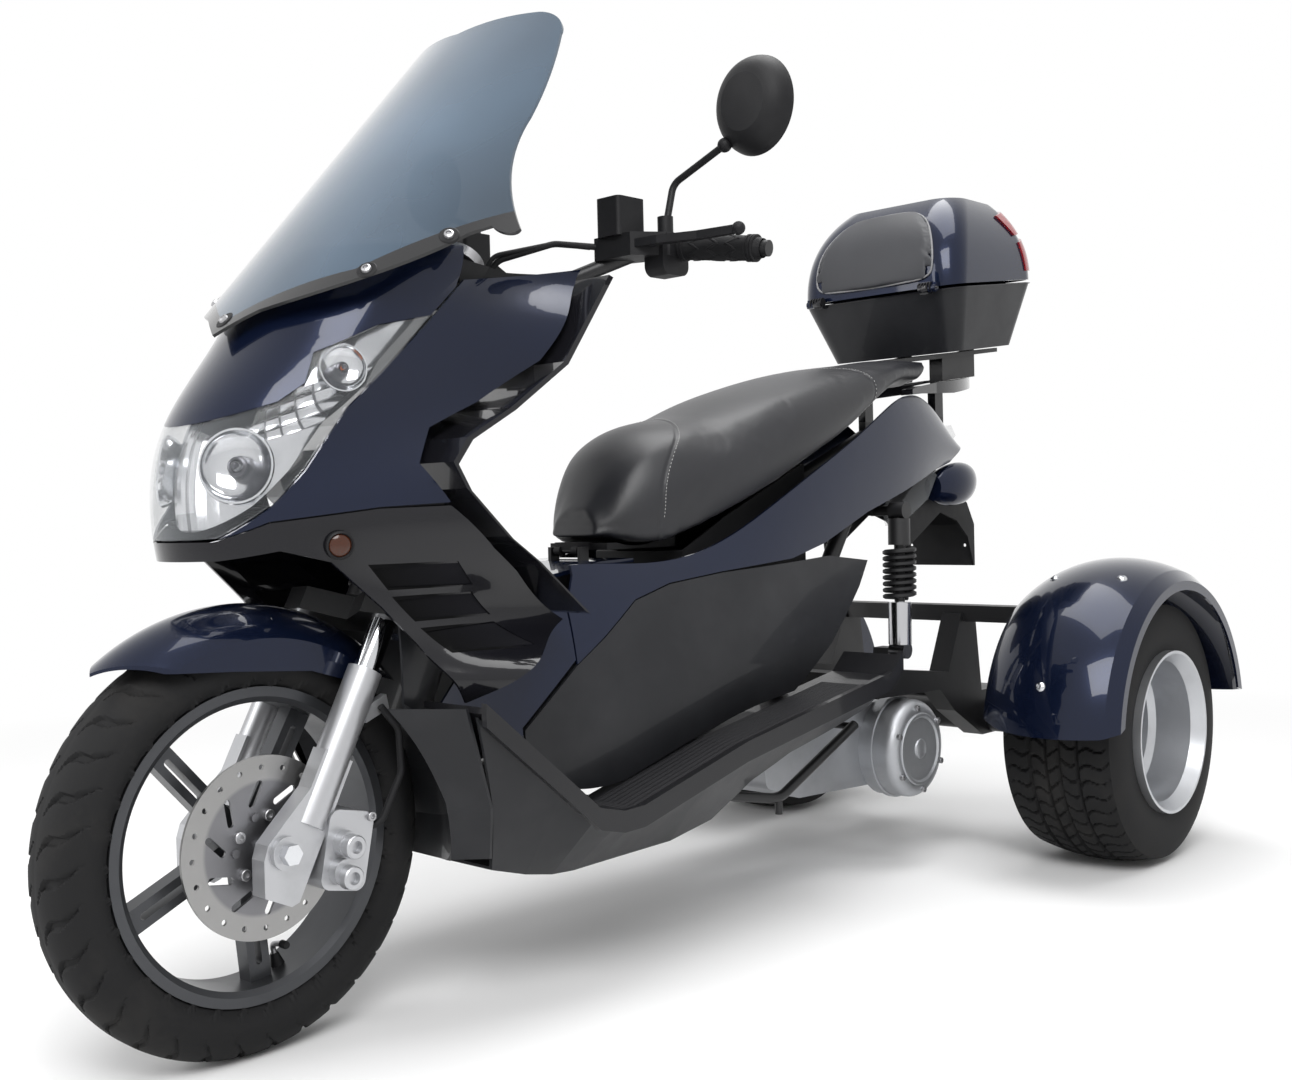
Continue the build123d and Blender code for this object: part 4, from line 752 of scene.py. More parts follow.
# ------------------------------------------------------------------ finishes of the solid parts
DRESS: dict[Finish, Sequence[str]] = {
    Finish.NAVY: ("front_fender", "rear_fender_left", "rear_fender_right", "nose_mask", "front_cowl_left",
                  "front_cowl_right",
                  "side_cowl_left", "side_cowl_right", "tunnel_cover", "signal_pods", "case_lid"),
    Finish.CHARCOAL: ("side_panel_left", "side_panel_right", "splash_guard", "case_base", "belly_pan"),
    Finish.FLOOR: ("floorboard_left", "floorboard_right"),
    Finish.BLACK_PLASTIC: ("dash", "controls", "mirrors", "storage_tub", "seat_base", "rear_mudguard"),
    Finish.BLACK_GLOSS: ("grab_rail", "leg_shield"),
    Finish.VENTED: ("front_panel",),
    Finish.TREAD: ("front_tyre", "rear_tyre_left", "rear_tyre_right"),
    Finish.GRIP: ("grips", "brake_lines"),
    Finish.SILVER: ("rear_rim_left", "rear_rim_right"),
    Finish.GUNMETAL: ("front_rim",),
    Finish.FORK: ("fork_lowers", "front_caliper"),
    Finish.CHROME: ("fork_tubes", "front_axle"),
    Finish.CAST: ("engine",),
    Finish.STEEL: ("muffler",),
    Finish.DAMPER: ("shock_bodies",),
    Finish.BLACK_METAL: ("frame", "steering_stem", "handlebar", "rear_carrier", "seat_hinge", "shock_springs",
                         "guard_rails", "case_rack"),
    Finish.RED_LENS: ("case_reflectors",),
    Finish.DISC: ("front_disc",),
    Finish.LENS: ("headlight_lens", "tail_lamps"),
    Finish.LAMP_BOWL: ("headlight_housing",),
    Finish.SCREEN: ("windshield",),
    Finish.SEAT: ("seat_cushion", "case_pad"),
    Finish.MIRROR: ("mirror_glass",),
}


# ------------------------------------------------------------------ tools for the detailed pieces
class Skin:
    """The surface of a CAD node, for seating pieces on it."""

    _trees: dict[str, BVHTree] = {}

    def __init__(self, *nodes: str) -> None:
        """Reads the nodes' meshes."""
        self.nodes = [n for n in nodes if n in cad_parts]
        for name in self.nodes:
            if name not in Skin._trees:
                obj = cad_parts[name]
                Skin._trees[name] = BVHTree.FromPolygons([obj.matrix_world @ v.co for v in obj.data.vertices],
                                                         [p.vertices[:] for p in obj.data.polygons])

    def below(self, at: Vector, towards: Vector) -> tuple[Vector, Vector] | None:
        """Where a line from a point meets the surface first.

        Args:
            at: A point outside.
            towards: The line's direction.

        Returns:
            The point and the outward normal, or None.
        """
        best = None
        for name in self.nodes:
            point, normal, _, distance = Skin._trees[name].ray_cast(at, towards.normalized())
            if point is not None and (best is None or distance < best[2]):
                best = (point, normal if normal.dot(towards) < 0 else -normal, distance)
        return None if best is None else best[:2]


def seat_on(normal: Vector, at: Vector, roll: float = 0.0) -> Matrix:
    """A placement whose Z axis is the given normal."""
    turn = normal.to_track_quat("Z", "Y").to_matrix().to_4x4()
    return Matrix.Translation(at) @ turn @ Matrix.Rotation(roll, 4, "Z")


def turned(mesh: bmesh.types.BMesh, profile: Sequence[tuple[float, float]], place: Matrix, steps: int = 24) -> None:
    """Adds a body of revolution about the placement's Z axis.

    Args:
        mesh: The bmesh to add to.
        profile: Radius and height of each point, from the axis outward and back.
        place: The placement.
        steps: Divisions of the turn.
    """
    verts = [mesh.verts.new((r, 0.0, h)) for r, h in profile]
    edges = [mesh.edges.new(pair) for pair in zip(verts, verts[1:])]
    made = bmesh.ops.spin(mesh, geom=[*verts, *edges], cent=(0, 0, 0), axis=(0, 0, 1), angle=math.tau, steps=steps,
                          use_merge=True)
    new = {v for v in made["geom_last"] if isinstance(v, bmesh.types.BMVert)} | set(verts)
    linked = set(new)
    frontier = list(new)
    while frontier:
        vert = frontier.pop()
        for edge in vert.link_edges:
            other = edge.other_vert(vert)
            if other not in linked:
                linked.add(other)
                frontier.append(other)
    bmesh.ops.transform(mesh, matrix=place, verts=list(linked))


class Head(Enum):
    """Screw heads: radius and height pairs of half a section, as shares of the head's radius."""

    ROUND = ((0.0, 0.30), (0.28, 0.30), (0.34, 0.55), (0.72, 0.44), (0.95, 0.18), (1.0, 0.0))
    CAP = ((0.0, 0.45), (0.5, 0.45), (0.54, 0.95), (0.9, 0.95), (1.0, 0.86), (1.0, 0.0))
    FLAT = ((0.0, 0.16), (0.9, 0.16), (1.0, 0.08), (1.0, 0.0))
    WASHERED = ((0.0, 0.38), (0.3, 0.38), (0.36, 0.62), (0.62, 0.5), (0.7, 0.14), (0.98, 0.14), (1.0, 0.0))


def screw(mesh: bmesh.types.BMesh, at: Vector, normal: Vector, radius: float, head: Head = Head.ROUND) -> None:
    """Adds one screw head seated on a surface."""
    place = seat_on(normal, at - normal * radius * 0.06)
    turned(mesh, [(r * radius, h * radius) for r, h in head.value], place, 20)


def rod(name: str, points: Sequence[Vector], radius: float, finish: Finish, body: str,
        closed: bool = False) -> bpy.types.Object:
    """A round bar along a smooth line through control points."""
    data = bpy.data.curves.new(name, "CURVE")
    data.dimensions, data.bevel_depth, data.bevel_resolution, data.resolution_u = "3D", radius, 3, 10
    line = data.splines.new("NURBS")
    line.points.add(len(points) - 1)
    for control, point in zip(line.points, points):
        control.co = (*point, 1.0)
    line.order_u, line.use_endpoint_u, line.use_cyclic_u = 3, not closed, closed
    data.use_fill_caps = True
    data.materials.append(material(finish))
    made = shown(name, data)
    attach(made, body)
    return made


def arc(a: tuple[float, float], b: tuple[float, float], c: tuple[float, float],
        count: int) -> list[tuple[float, float]]:
    """Points along the circle through three points, both ends kept."""
    (ax, ay), (bx, by), (cx, cy) = a, b, c
    d = 2 * (ax * (by - cy) + bx * (cy - ay) + cx * (ay - by))
    ux = ((ax ** 2 + ay ** 2) * (by - cy) + (bx ** 2 + by ** 2) * (cy - ay) + (cx ** 2 + cy ** 2) * (ay - by)) / d
    uy = ((ax ** 2 + ay ** 2) * (cx - bx) + (bx ** 2 + by ** 2) * (ax - cx) + (cx ** 2 + cy ** 2) * (bx - ax)) / d
    r = math.hypot(ax - ux, ay - uy)
    t0, t1, t2 = (math.atan2(y - uy, x - ux) for x, y in (a, b, c))
    sweep = (t2 - t0) % math.tau
    if (t1 - t0) % math.tau > sweep:
        sweep -= math.tau
    return [(ux + r * math.cos(t0 + sweep * i / count),
             uy + r * math.sin(t0 + sweep * i / count)) for i in range(count + 1)]


# ------------------------------------------------------------------ tyres
def band(value: float, half: float, soft: float) -> float:
    """1 inside a band about zero, falling to 0 over a soft edge."""
    return min(1.0, max(0.0, (half - abs(value)) / soft + 0.5))


@dataclass
class Tyre:
    """A tyre with its cut tread, turned from the same section as the solid one."""

    node: str
    body: str
    centre: Vector
    section: list[tuple[float, float]]
    around: int
    tread: Callable[[float, float], float]
    depth: float
    tread_half: float

    def build(self) -> None:
        """Turns the section and presses the grooves in."""
        mesh = bmesh.new()
        ring = [mesh.verts.new((0.0, y, r)) for y, r in self.section]
        edges = [mesh.edges.new(pair) for pair in zip(ring, ring[1:])]
        bmesh.ops.spin(mesh, geom=[*ring, *edges], cent=(0, 0, 0), axis=(0, 1, 0), angle=math.tau, steps=self.around,
                       use_merge=True)
        top = max(r for _, r in self.section)
        for vert in mesh.verts:
            radius = math.hypot(vert.co.x, vert.co.z)
            angle = math.atan2(vert.co.z, vert.co.x)
            cut = self.tread(angle * top * 1000.0, vert.co.y * 1000.0)
            wall = abs(vert.co.y) * 1000.0
            drop = cut * self.depth if wall < self.tread_half else 0.0
            rim_bead = 0.0
            if wall > self.tread_half * 0.8:
                rim_bead = 0.0012 * band((radius - top + 0.034) * 1000.0, 0.9, 0.8)
            scale = (radius - drop - rim_bead) / radius
            vert.co.x *= scale
            vert.co.z *= scale
        bmesh.ops.translate(mesh, verts=mesh.verts, vec=self.centre)
        made = piece(f"{self.node}_tread", mesh, Finish.TREAD, self.body, 28.0)
        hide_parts(self.node)


def front_tread(run: float, across: float) -> float:
    """Groove depth share of the front tyre at a place along and across the tread, in millimetres."""
    pitch = math.tau * FRONT_R / 34
    side = 1.0 if across > 0 else -1.0
    u = (abs(across) - 5.0) / 44.0
    if not 0.0 < u < 1.0:
        return 0.0
    here = run * side + (0.0 if side > 0 else pitch / 2)
    main = (here - 52.0 * u - 8.0 * math.sin(math.tau * u)) % pitch - pitch / 2
    slash = (here - 58.0 * u + 12.0) % pitch - pitch / 2
    cut = band(main, 1.0 + 4.2 * math.sin(math.pi * min(1.0, u * 1.05)) ** 1.5, 1.5)
    if 0.55 < u < 0.95:
        cut = max(cut, band(slash, 3.5 * math.sin(math.pi * (u - 0.55) / 0.4), 1.5))
    return cut


def rear_tread(run: float, across: float) -> float:
    """Groove depth share of a rear tyre: four straight grooves, stepped cross cuts and curved shoulder cuts."""
    pitch = math.tau * REAR_R / 50
    wall = abs(across)
    cut = max(band(wall - 12.0, 2.2, 1.8), band(wall - 42.0, 2.4, 1.8))
    if wall < 42.0:
        bend = 6.0 * math.sin(across / 42.0 * math.tau) + (pitch / 2 if wall > 12.0 else 0.0)
        cut = max(cut, band((run - bend) % pitch - pitch / 2, 1.9, 1.8))
    else:
        u = (wall - 42.0) / 50.0
        bend = 16.0 * u + 7.0 * math.sin(math.tau * u)
        cut = max(cut, band((run * (1 if across > 0 else -1) - bend) % pitch - pitch / 2, 2.0 * (1.25 - u), 1.8))
    return cut


def front_section() -> list[tuple[float, float]]:
    """Half width and radius points of the front tyre, bead to bead, in metres."""
    half, bead = 51.0, 34.0
    outer = arc((half - 4, 230), (half * 0.66, 248), (0, FRONT_R), 26)
    wall = arc((bead, 191), (half, 214), (half - 4, 230), 8)
    right = [(bead, 181.0), *wall[:-1], *outer]
    return [(y / 1000, r / 1000) for y, r in [*right, *[(-y, r) for y, r in reversed(right[:-1])]]]


def rear_section() -> list[tuple[float, float]]:
    """Half width and radius points of a rear tyre, bead to bead, in metres."""
    half, bead = 103.5, 99.5
    wall = arc((bead, 142), (half, 180), (half - 9, 222), 9)
    crown = arc((half - 9, 222), (0, REAR_R), (9 - half, 222), 78)
    points = [(bead, 131.0), *wall[:-1], *crown, *[(-y, r) for y, r in reversed(wall[:-1])], (-bead, 131.0)]
    return [(y / 1000, r / 1000) for y, r in points]


# ------------------------------------------------------------------ padding
@dataclass
class Pad:
    """A padded piece: the solid's own form, remeshed, blown up a little as cloth and grooved at its seams."""

    node: str
    name: str
    body: str
    shrink: float
    voxel: float
    cap: float
    fill: float
    seams: Sequence[Callable[[Vector], float]] = ()
    groove: float = 0.0025
    smooth: int = 6
    finish: Finish = Finish.SEAT
    hold: Callable[[Vector], bool] = lambda p: False

    def build(self) -> None:
        """Makes the padded piece and puts it in place of the solid."""
        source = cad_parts[self.node]
        mesh = source.data.copy()
        made = shown(self.name, mesh)
        mesh.transform(source.matrix_world)
        self._modifier(made, "REMESH", mode="VOXEL", voxel_size=self.voxel)
        self._modifier(made, "SMOOTH", factor=0.5, iterations=self.smooth)
        work = made.data
        work.update()
        for vert, normal in [(v, v.normal.copy()) for v in work.vertices]:
            vert.co -= normal * self.shrink
        rest = [v.co.copy() for v in work.vertices]
        cloth = made.modifiers.new("cloth", "CLOTH")
        cloth.settings.use_pressure, cloth.settings.uniform_pressure_force = True, 4.0
        cloth.settings.effector_weights.gravity = 0.0
        for number in range(1, 21):
            bpy.context.scene.frame_set(number)
        depsgraph = bpy.context.evaluated_depsgraph_get()
        blown = made.evaluated_get(depsgraph).data
        moved = [v.co.copy() for v in blown.vertices]
        made.modifiers.clear()
        for vert, start, end in zip(made.data.vertices, rest, moved):
            step = end - start
            if step.length > self.cap:
                step *= self.cap / step.length
            vert.co = start + step * (0.15 if self.hold(start) else 1.0)
        bpy.context.scene.frame_set(1)
        made.data.update()
        self._modifier(made, "SMOOTH", factor=0.4, iterations=2)
        self._modifier(made, "SUBSURF", levels=1, render_levels=1)
        for vert, normal in [(v, v.normal.copy()) for v in made.data.vertices]:
            press = max((band(seam(vert.co) * 1000.0, 1.5, 4.5) for seam in self.seams), default=0.0)
            vert.co -= normal * self.groove * press * press
        made.data.materials.clear()
        made.data.materials.append(material(self.finish))
        made.data.shade_smooth()
        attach(made, self.body)
        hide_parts(self.node)

    @staticmethod
    def _modifier(obj: bpy.types.Object, kind: str, **settings: object) -> None:
        """Adds a modifier and bakes it into the mesh."""
        mod = obj.modifiers.new(kind.lower(), kind)
        for key, value in settings.items():
            setattr(mod, key, value)
        depsgraph = bpy.context.evaluated_depsgraph_get()
        baked = bpy.data.meshes.new_from_object(obj.evaluated_get(depsgraph))
        obj.modifiers.clear()
        obj.data = baked


def front_seam(p: Vector) -> float:
    """Signed distance from the curved seam round the rider's front panel."""
    bow = 0.118 + 0.075 * max(0.0, (p.z - 0.66) / 0.12) ** 2 * -1.0 + 0.012 * min(1.0, abs(p.y) / 0.1)
    return (p.x - bow) * 0.9


def rear_seam(p: Vector) -> float:
    """Signed distance from the seam across the pillion end."""
    return p.x + 0.372 + 0.02 * abs(p.y) / 0.15


@dataclass
class Stitches:
    """White stitches along a seam of the seat."""

    name: str
    seam: Callable[[Vector], float]
    start_x: float
    pitch: float = 0.0052
    length: float = 0.0036
    offset: float = 0.0045

    def build(self) -> None:
        """Walks over the seat from one side to the other and lays a stitch at each step."""
        obj = bpy.data.objects["seat_cover"]
        tree = BVHTree.FromPolygons([v.co.copy() for v in obj.data.vertices],
                                    [p.vertices[:] for p in obj.data.polygons])
        points: list[tuple[Vector, Vector]] = []
        for step in range(241):
            angle = math.radians(-112 + 224 * step / 240)
            x = self.start_x
            centre = Vector((x, 0.0, 0.68 if x > 0 else 0.84))
            out = Vector((0.0, math.sin(angle), math.cos(angle)))
            found = None
            for _ in range(6):
                centre.x = x
                hit, normal, _, _ = tree.ray_cast(centre + out * 0.5, -out)
                if hit is None:
                    break
                found = (hit, normal)
                x = hit.x - self.seam(hit) - self.offset
            if found:
                points.append(found)
        mesh = bmesh.new()
        gone, last = 0.0, None
        for here, normal in points:
            if last is not None and (here - last).length < 0.04:
                gone += (here - last).length
                if gone >= self.pitch:
                    gone = 0.0
                    along = (here - last).normalized()
                    turn = Matrix((along, normal.cross(along), normal)).transposed().to_4x4()
                    place = Matrix.Translation(here + normal * 0.0002) @ turn
                    made = bmesh.ops.create_icosphere(mesh, subdivisions=1, radius=0.5)
                    bmesh.ops.scale(mesh, vec=(self.length, 0.0011, 0.0009), verts=made["verts"])
                    bmesh.ops.transform(mesh, matrix=place, verts=made["verts"])
            last = here
        piece(self.name, mesh, Finish.THREAD, "seat")


# ------------------------------------------------------------------ small parts
@dataclass
class Screws:
    """A set of screw heads seated on a surface."""

    name: str
    nodes: tuple[str, ...]
    body: str
    slot: str
    finish: Finish
    radius: float
    spots: Sequence[tuple[Vector, Vector]]
    head: Head = Head.ROUND
    both_sides: bool = True

    def build(self) -> None:
        """Seats every screw; a spot is a point outside and the way towards the surface."""
        skin = Skin(*self.nodes)
        mesh = bmesh.new()
        flips = (1, -1) if self.both_sides else (1,)
        for at, way in self.spots:
            for side in flips:
                found = skin.below(Vector((at.x, at.y * side, at.z)), Vector((way.x, way.y * side, way.z)))
                if found:
                    screw(mesh, *found, self.radius, self.head)
                if not at.y and not way.y:
                    break
        piece(self.name, mesh, self.finish, self.body)


@dataclass
class Lamp:
    """A bulb in its socket and shallow dish, seated on the reflector behind the headlamp's lens."""

    name: str
    at: Vector
    radius: float
    finish: Finish = Finish.BULB

    def build(self) -> None:
        """Makes dish, socket and bulb on both sides."""
        r = self.radius
        dish = [(0.3, 0.0), (0.5, 0.03), (0.75, 0.12), (0.93, 0.28), (1.0, 0.4), (1.06, 0.4), (1.08, 0.34),
                (1.0, 0.18),
                (0.85, -0.02), (0.3, -0.2), (0.3, 0.0)]
        socket = [(0.14, 0.0), (0.14, 0.3), (0.2, 0.33), (0.27, 0.3), (0.3, 0.1), (0.34, 0.02), (0.34, -0.2),
                  (0.14, -0.2), (0.14, 0.0)]
        glass = [(0.0, 0.56), (0.05, 0.55), (0.1, 0.48), (0.115, 0.3), (0.11, 0.0), (0.0, 0.0)]
        cap = [(0.0, 0.6), (0.06, 0.59), (0.1, 0.53), (0.11, 0.47), (0.105, 0.46), (0.0, 0.56)]
        shapes = (("dish", dish, Finish.BRIGHT, "lamp_chrome"), ("socket", socket, Finish.SOCKET, "black_metal"),
                  ("bulb", glass, self.finish, "clear_lens"), ("cap", cap, Finish.SOCKET, "black_metal"))
        skin = Skin("headlight_housing")
        for part, profile, finish, slot in shapes:
            mesh = bmesh.new()
            for side in (1, -1):
                found = skin.below(Vector((self.at.x + 0.3, (self.at.y + 0.3) * side, self.at.z)),
                                   Vector((-1, -side, 0)))
                if found:
                    turned(mesh, [(a * r, b * r) for a, b in profile], seat_on(found[1], found[0]), 40)
            piece(f"{self.name}_{part}", mesh, finish, "frame")


@dataclass
class CowlSeam:
    """Dark strip that closes the joint between the nose's upper and lower panels from inside, standing in for the
    shade in the gap.
    """

    line: Sequence[tuple[float, float]] = ((0.056, 0.628), (0.020, 0.645), (-0.040, 0.653), (-0.100, 0.659),
                                           (-0.150, 0.662),
                                           (-0.180, 0.663))

    def build(self) -> None:
        """Lays a strip along the joint on both sides."""
        skin = Skin("front_cowl_left", "front_cowl_right")
        for side, word in ((1, "left"), (-1, "right")):
            points = []
            for ahead, height in self.line:
                found = skin.below(from_front(ahead, 0.5 * side, height + 0.007), Vector((0, -side, 0)))
                if found:
                    outward = Vector((found[1].x, found[1].y, 0)).normalized()
                    points.append(Vector((found[0].x, found[0].y, height)) - outward * 0.0085)
            if len(points) > 2:
                # Painted shade: a dark rod behind the joint.
                rod(f"cowl_gap_shade_{word}", points, 0.0045, Finish.BLACK_PLASTIC, "frame")


@dataclass
class CasePiping:
    """Pale piping round the backrest pad of the top case."""

    rows: Sequence[tuple[float, float]] = ((0.016, 0.124), (0.050, 0.129), (0.092, 0.121), (0.126, 0.099))

    def build(self) -> None:
        """Walks round the pad's border and lays the piping on the lid."""
        origin, skin = CASE_FOOT + CASE_UP * 0.1245, Skin("case_lid", "case_pad")
        border = list(self.rows)
        border += [(0.144, 0.068), (0.148, 0.03), (0.148, -0.03), (0.144, -0.068)]
        border += [(height, -half) for height, half in reversed(self.rows)]
        border += [(0.013, -0.06), (0.012, 0.0), (0.013, 0.06)]
        points = []
        for height, half in border:
            found = skin.below(origin + CASE_UP * height + CASE_AHEAD * 0.4 + Vector((0, half, 0)), -CASE_AHEAD)
            if found:
                points.append(found[0] + found[1] * 0.0006)
        rod("case_piping", points, 0.0019, Finish.PIPING, "trunk_lid", True)


@dataclass
class Valve:
    """Tyre valve with its elbow, at the front rim."""

    angle: float = math.radians(-107)

    def build(self) -> None:
        """Bends the stem out of the rim."""
        out = Vector((math.cos(self.angle), 0.0, math.sin(self.angle)))
        foot = FRONT_AXLE + out * 0.166
        points = [foot, foot - out * 0.014, foot - out * 0.024 + Vector((0, 0.002, 0)),
                  foot - out * 0.028 + Vector((0, 0.014, 0)),
                  foot - out * 0.03 + Vector((0, 0.026, 0))]
        rod("valve_stem", points, 0.0036, Finish.STEEL, "front_wheel")
        mesh = bmesh.new()
        turned(mesh, [(0, 0.011), (0.0042, 0.011), (0.005, 0.009), (0.005, 0.0), (0, 0)],
               seat_on(Vector((0, 1, 0)), points[-1]))
        turned(mesh, [(0, 0.016), (0.005, 0.016), (0.007, 0.008), (0.009, 0.0), (0, 0)],
               seat_on(-out, foot + out * 0.004))
        piece("valve_cap", mesh, Finish.GRIP, "front_wheel")


@dataclass
class GripRibs:
    """Raised bands and ridges on both rubber grips."""

    def build(self) -> None:
        """Lays rings along the grip and bowed ridges between them."""
        mesh = bmesh.new()
        for side in (1, -1):
            start, end = from_front(-0.590, 0.232 * side, 1.010), from_front(-0.607, 0.346 * side, 0.9945)
            way = (end - start).normalized()
            for share in (0.015, 0.05, 0.9, 0.955, 0.985):
                place = seat_on(way, start + (end - start) * share)
                turned(mesh, [(0.0168, -0.0019), (0.0186, -0.0012), (0.0186, 0.0012), (0.0168, 0.0019)], place, 28)
            for row in range(12):
                turn = math.tau * row / 12
                place = seat_on(way, start + (end - start) * 0.12, turn)
                for wave in range(3):
                    made = bmesh.ops.create_icosphere(mesh, subdivisions=2, radius=1.0)
                    bmesh.ops.scale(mesh, vec=(0.0011, 0.0021, 0.0125), verts=made["verts"])
                    tilt = Matrix.Rotation((0.5 if (row + wave) % 2 else -0.5), 4, "X")
                    bmesh.ops.transform(mesh,
                                        matrix=place @ Matrix.Translation((0.0168, 0.0, 0.012 + 0.029 * wave)) @ tilt,
                                        verts=made["verts"])
        piece("grip_ribs", mesh, Finish.GRIP, "steering")


@dataclass
class EngineCover:
    """Rings and bolts of the round engine cover."""

    centre: Vector = field(default_factory=lambda: from_rear(0.296, 0.168, 0.214))

    def build(self) -> None:
        """Turns the cover's steps and seats the bolts."""
        mesh = bmesh.new()
        face = seat_on(Vector((0, 1, 0)), self.centre)
        turned(mesh, [(0.064, -0.0004), (0.064, 0.0015), (0.0625, 0.003), (0.058, 0.003), (0.056, 0.0012),
                      (0.054, -0.0004)], face, 64)
        turned(mesh, [(0.0865, -0.052), (0.0895, -0.051), (0.0895, -0.044), (0.0865, -0.043)], face, 64)
        turned(mesh, [(0.0, 0.004), (0.014, 0.004), (0.017, 0.0022), (0.018, -0.0004)], face, 32)
        piece("engine_cover_rings", mesh, Finish.CAST, "frame")
        mesh = bmesh.new()
        for number in range(6):
            turn = math.tau * (number + 0.4) / 6
            at = self.centre + Vector((math.cos(turn) * 0.073, 0.0, math.sin(turn) * 0.073))
            found = Skin("engine").below(at + Vector((0, 0.05, 0)), Vector((0, -1, 0)))
            if found:
                screw(mesh, found[0], Vector((0, 1, 0)), 0.0055, Head.CAP)
        piece("engine_cover_bolts", mesh, Finish.STEEL, "frame")


@dataclass
class Instruments:
    """Three round dials on the dash, with their bezels, marks and needles."""

    dials: Sequence[tuple[float, float]] = ((0.0, 0.036), (0.078, 0.025), (-0.078, 0.025))
    aim: Vector = field(default_factory=lambda: Vector((0.62, 0.0, -0.78)))

    def build(self) -> None:
        """Seats each dial where the rider's view meets the dash."""
        skin, faces, bezels, marks = Skin("dash"), bmesh.new(), bmesh.new(), bmesh.new()
        for across, radius in self.dials:
            found = skin.below(from_front(-0.41, across, 1.10), self.aim)
            if not found:
                continue
            place = seat_on(-self.aim.normalized(), found[0] - self.aim.normalized() * 0.026)
            turned(faces, [(0.0, 0.001), (radius, 0.001), (radius + 0.004, -0.05), (0.0, -0.05)], place, 48)
            turned(bezels, [(radius - 0.001, -0.01), (radius - 0.001, 0.003), (radius + 0.001, 0.006),
                            (radius + 0.004, 0.005),
                            (radius + 0.006, -0.01), (radius - 0.001, -0.01)], place, 48)
            for number in range(11):
                turn = Matrix.Rotation(math.radians(-120 + 24 * number), 4, "Z")
                made = bmesh.ops.create_cube(marks, size=1.0)
                bmesh.ops.scale(marks, vec=(0.0011, 0.005, 0.0005), verts=made["verts"])
                bmesh.ops.transform(marks, matrix=place @ turn @ Matrix.Translation((0, radius * 0.8, 0.0012)),
                                    verts=made["verts"])
            made = bmesh.ops.create_cone(marks, segments=8, radius1=0.0012, radius2=0.0003, depth=radius * 0.8,
                                         cap_ends=True)
            lay = (Matrix.Rotation(math.radians(115), 4, "Z") @ Matrix.Translation((0, radius * 0.3, 0.0026))
                   @ Matrix.Rotation(-math.pi / 2, 4, "X"))
            bmesh.ops.transform(marks, matrix=place @ lay, verts=made["verts"])
        piece("dial_faces", faces, Finish.DIAL, "frame")
        piece("dial_bezels", bezels, Finish.STEEL, "frame")
        piece("dial_marks", marks, Finish.THREAD, "frame")


@dataclass
class CaseTrim:
    """Ribs of the top case's front hinges."""

    def build(self) -> None:
        """Lays thin discs side by side over both hinges."""
        mesh = bmesh.new()
        for side in (1, -1):
            for number in range(5):
                across = Vector((0, side * (0.108 + 0.006 * number), 0))
                at = CASE_FOOT + CASE_UP * 0.1235 + CASE_AHEAD * 0.171 + across
                turned(mesh, [(0, 0.0012), (0.0088, 0.0012), (0.0088, -0.0012), (0, -0.0012)],
                       seat_on(Vector((0, 1, 0)), at), 20)
        piece("case_hinge_ribs", mesh, Finish.BLACK_PLASTIC, "frame")


@dataclass
class CaseRim:
    """Rolled rim round the top of the case's base."""

    height: float = 0.011
    proud: float = 0.0028

    def build(self) -> None:
        """Cuts the band off the base's own wall and gives it its thickness."""
        up, origin = CASE_UP, CASE_FOOT
        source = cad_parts["case_base"]
        mesh = bmesh.new()
        mesh.from_mesh(source.data)
        bmesh.ops.transform(mesh, matrix=source.matrix_world, verts=mesh.verts)
        bmesh.ops.remove_doubles(mesh, verts=mesh.verts, dist=1e-6)
        top = max(up.dot(v.co - origin) for v in mesh.verts)
        bmesh.ops.bisect_plane(mesh, geom=[*mesh.verts, *mesh.edges, *mesh.faces], dist=1e-6,
                               plane_co=origin + up * (top - self.height), plane_no=up, clear_inner=True)
        middle = sum((v.co for v in mesh.verts), Vector()) / len(mesh.verts)
        mesh.normal_update()
        inner = [f for f in mesh.faces if abs(f.normal.dot(up)) > 0.7 or
                 f.normal.dot((f.calc_center_median() - middle) - up * up.dot(f.calc_center_median() - middle)) <= 0.0]
        bmesh.ops.delete(mesh, geom=inner, context="FACES")
        for vert in mesh.verts:
            vert.co += vert.normal * self.proud
        bmesh.ops.solidify(mesh, geom=mesh.faces[:], thickness=self.proud)
        piece("case_rim", mesh, Finish.BLACK_GLOSS, "frame")


@dataclass
class SideReflectors:
    """Round amber reflectors in their rings on both sides of the front panel."""

    at: Vector = field(default_factory=lambda: from_front(-0.054, 0.45, 0.617))

    def build(self) -> None:
        """Seats ring and lens on the panel."""
        skin, ring, lens = Skin("front_panel"), bmesh.new(), bmesh.new()
        for side in (1, -1):
            found = skin.below(Vector((self.at.x, self.at.y * side, self.at.z)), Vector((0, -side, 0)))
            if found:
                place = seat_on(found[1], found[0] + found[1] * 0.004)
                turned(ring, [(0.0135, -0.006), (0.0165, -0.006), (0.0175, 0.0), (0.017, 0.003), (0.015, 0.004),
                              (0.0135, 0.002)],
                       place, 40)
                turned(lens, [(0.0, 0.0052), (0.006, 0.005), (0.011, 0.0036), (0.014, 0.001), (0.014, -0.003),
                              (0.0, -0.003)], place, 40)
        piece("side_reflector_rings", ring, Finish.BLACK_PLASTIC, "frame")
        piece("side_reflector_lenses", lens, Finish.AMBER_LENS, "frame")


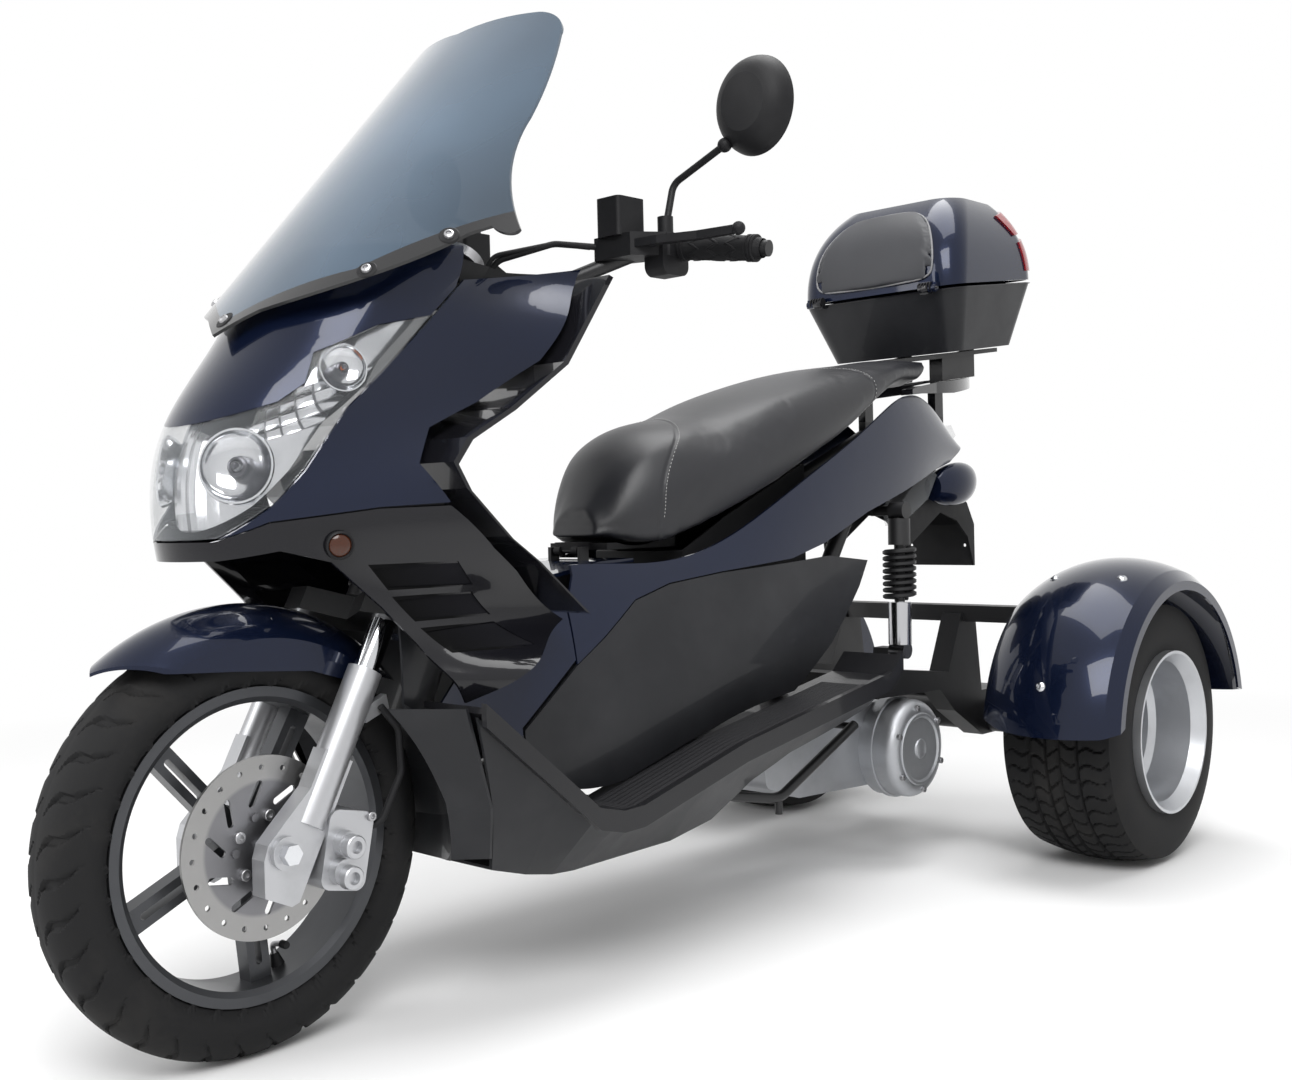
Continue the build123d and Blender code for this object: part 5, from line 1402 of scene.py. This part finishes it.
DETAILS: list = [
    Tyre("front_tyre", "front_wheel", FRONT_AXLE, front_section(), 640, front_tread, 0.0045, 50.0),
    *(Tyre(f"rear_tyre_{word}", f"rear_wheel_{word}", REAR_AXLE + Vector((0, y, 0)), rear_section(), 480, rear_tread,
           0.006, 93.0) for word, y in (("left", HALF_TRACK), ("right", -HALF_TRACK))),
    Pad("seat_cushion", "seat_cover", "seat", 0.004, 0.0065, 0.005, 0.9, (front_seam, rear_seam), 0.003,
        6, Finish.SEAT, lambda p: p.z < 0.62 and p.x > 0.1),
    Pad("case_pad", "case_pad_cover", "trunk_lid", -0.0012, 0.003, 0.002, 0.8, (), 0.0, 1, Finish.CASE_PAD),
    Stitches("seat_stitches_front", front_seam, 0.13),
    Stitches("seat_stitches_rear", rear_seam, -0.37),
    Screws("fender_screws", ("rear_fender_left", "rear_fender_right"), "frame", "bright_steel", Finish.CHROME, 0.0085,
           [(Vector((-0.663, 0.330, 0.70)), Vector((0, 0, -1))), (Vector((-0.652, 0.458, 0.70)), Vector((0, 0, -1))),
            (Vector((-0.3, 0.392, 0.338)), Vector((-1, 0, 0))), (Vector((-0.893, 0.330, 0.70)), Vector((0, 0, -1))),
            (Vector((-0.893, 0.458, 0.70)), Vector((0, 0, -1)))]),
    Screws("screen_screws", ("windshield",), "frame", "chrome", Finish.STEEL, 0.0095,
           SCREEN_SPOTS, Head.WASHERED),
    Screws("screen_washers", ("windshield",), "frame", "rubber", Finish.BLACK_PLASTIC, 0.0128,
           SCREEN_SPOTS, Head.FLAT),
    Screws("disc_bolts", ("front_disc",), "front_wheel", "bright_steel", Finish.STEEL, 0.007,
           [(FRONT_AXLE + Vector((math.cos(t) * 0.039, 0.2, math.sin(t) * 0.039)), Vector((0, -1, 0)))
            for t in (math.radians(28 + 72 * k) for k in range(5))], Head.CAP, False),
    Screws("caliper_bolts", ("front_caliper",), "steering", "fork_silver", Finish.STEEL, 0.006,
           [(Vector((0.688, 0.3, 0.282)), Vector((0, -1, 0))), (Vector((0.70, 0.3, 0.196)), Vector((0, -1, 0)))],
           Head.CAP, False),
    Screws("caliper_caps", ("front_caliper",), "steering", "fork_silver", Finish.FORK, 0.0145,
           [(Vector((0.7289, 0.3, 0.2545)), Vector((0, -1, 0))), (Vector((0.7335, 0.3, 0.218)), Vector((0, -1, 0)))],
           Head.CAP, False),
    Lamp("low_beam", Vector((0.8357, 0.0697, 0.7096)), 0.042),
    Lamp("turn_lamp", Vector((0.722, 0.116, 0.826)), 0.028, Finish.AMBER),
    CowlSeam(),
    CasePiping(),
    CaseRim(),
    SideReflectors(),
    Valve(),
    GripRibs(),
    EngineCover(),
    CaseTrim(),
    Instruments(),
]


def main() -> None:
    """Builds the trike's dress in order."""
    logging.basicConfig(level=logging.INFO, format="%(message)s")
    Studio().build()
    for finish, nodes in DRESS.items():
        for node in nodes:
            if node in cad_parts:
                dress(node, finish)
    for maker in DETAILS:
        maker.build()


if __name__ == "__main__":
    main()
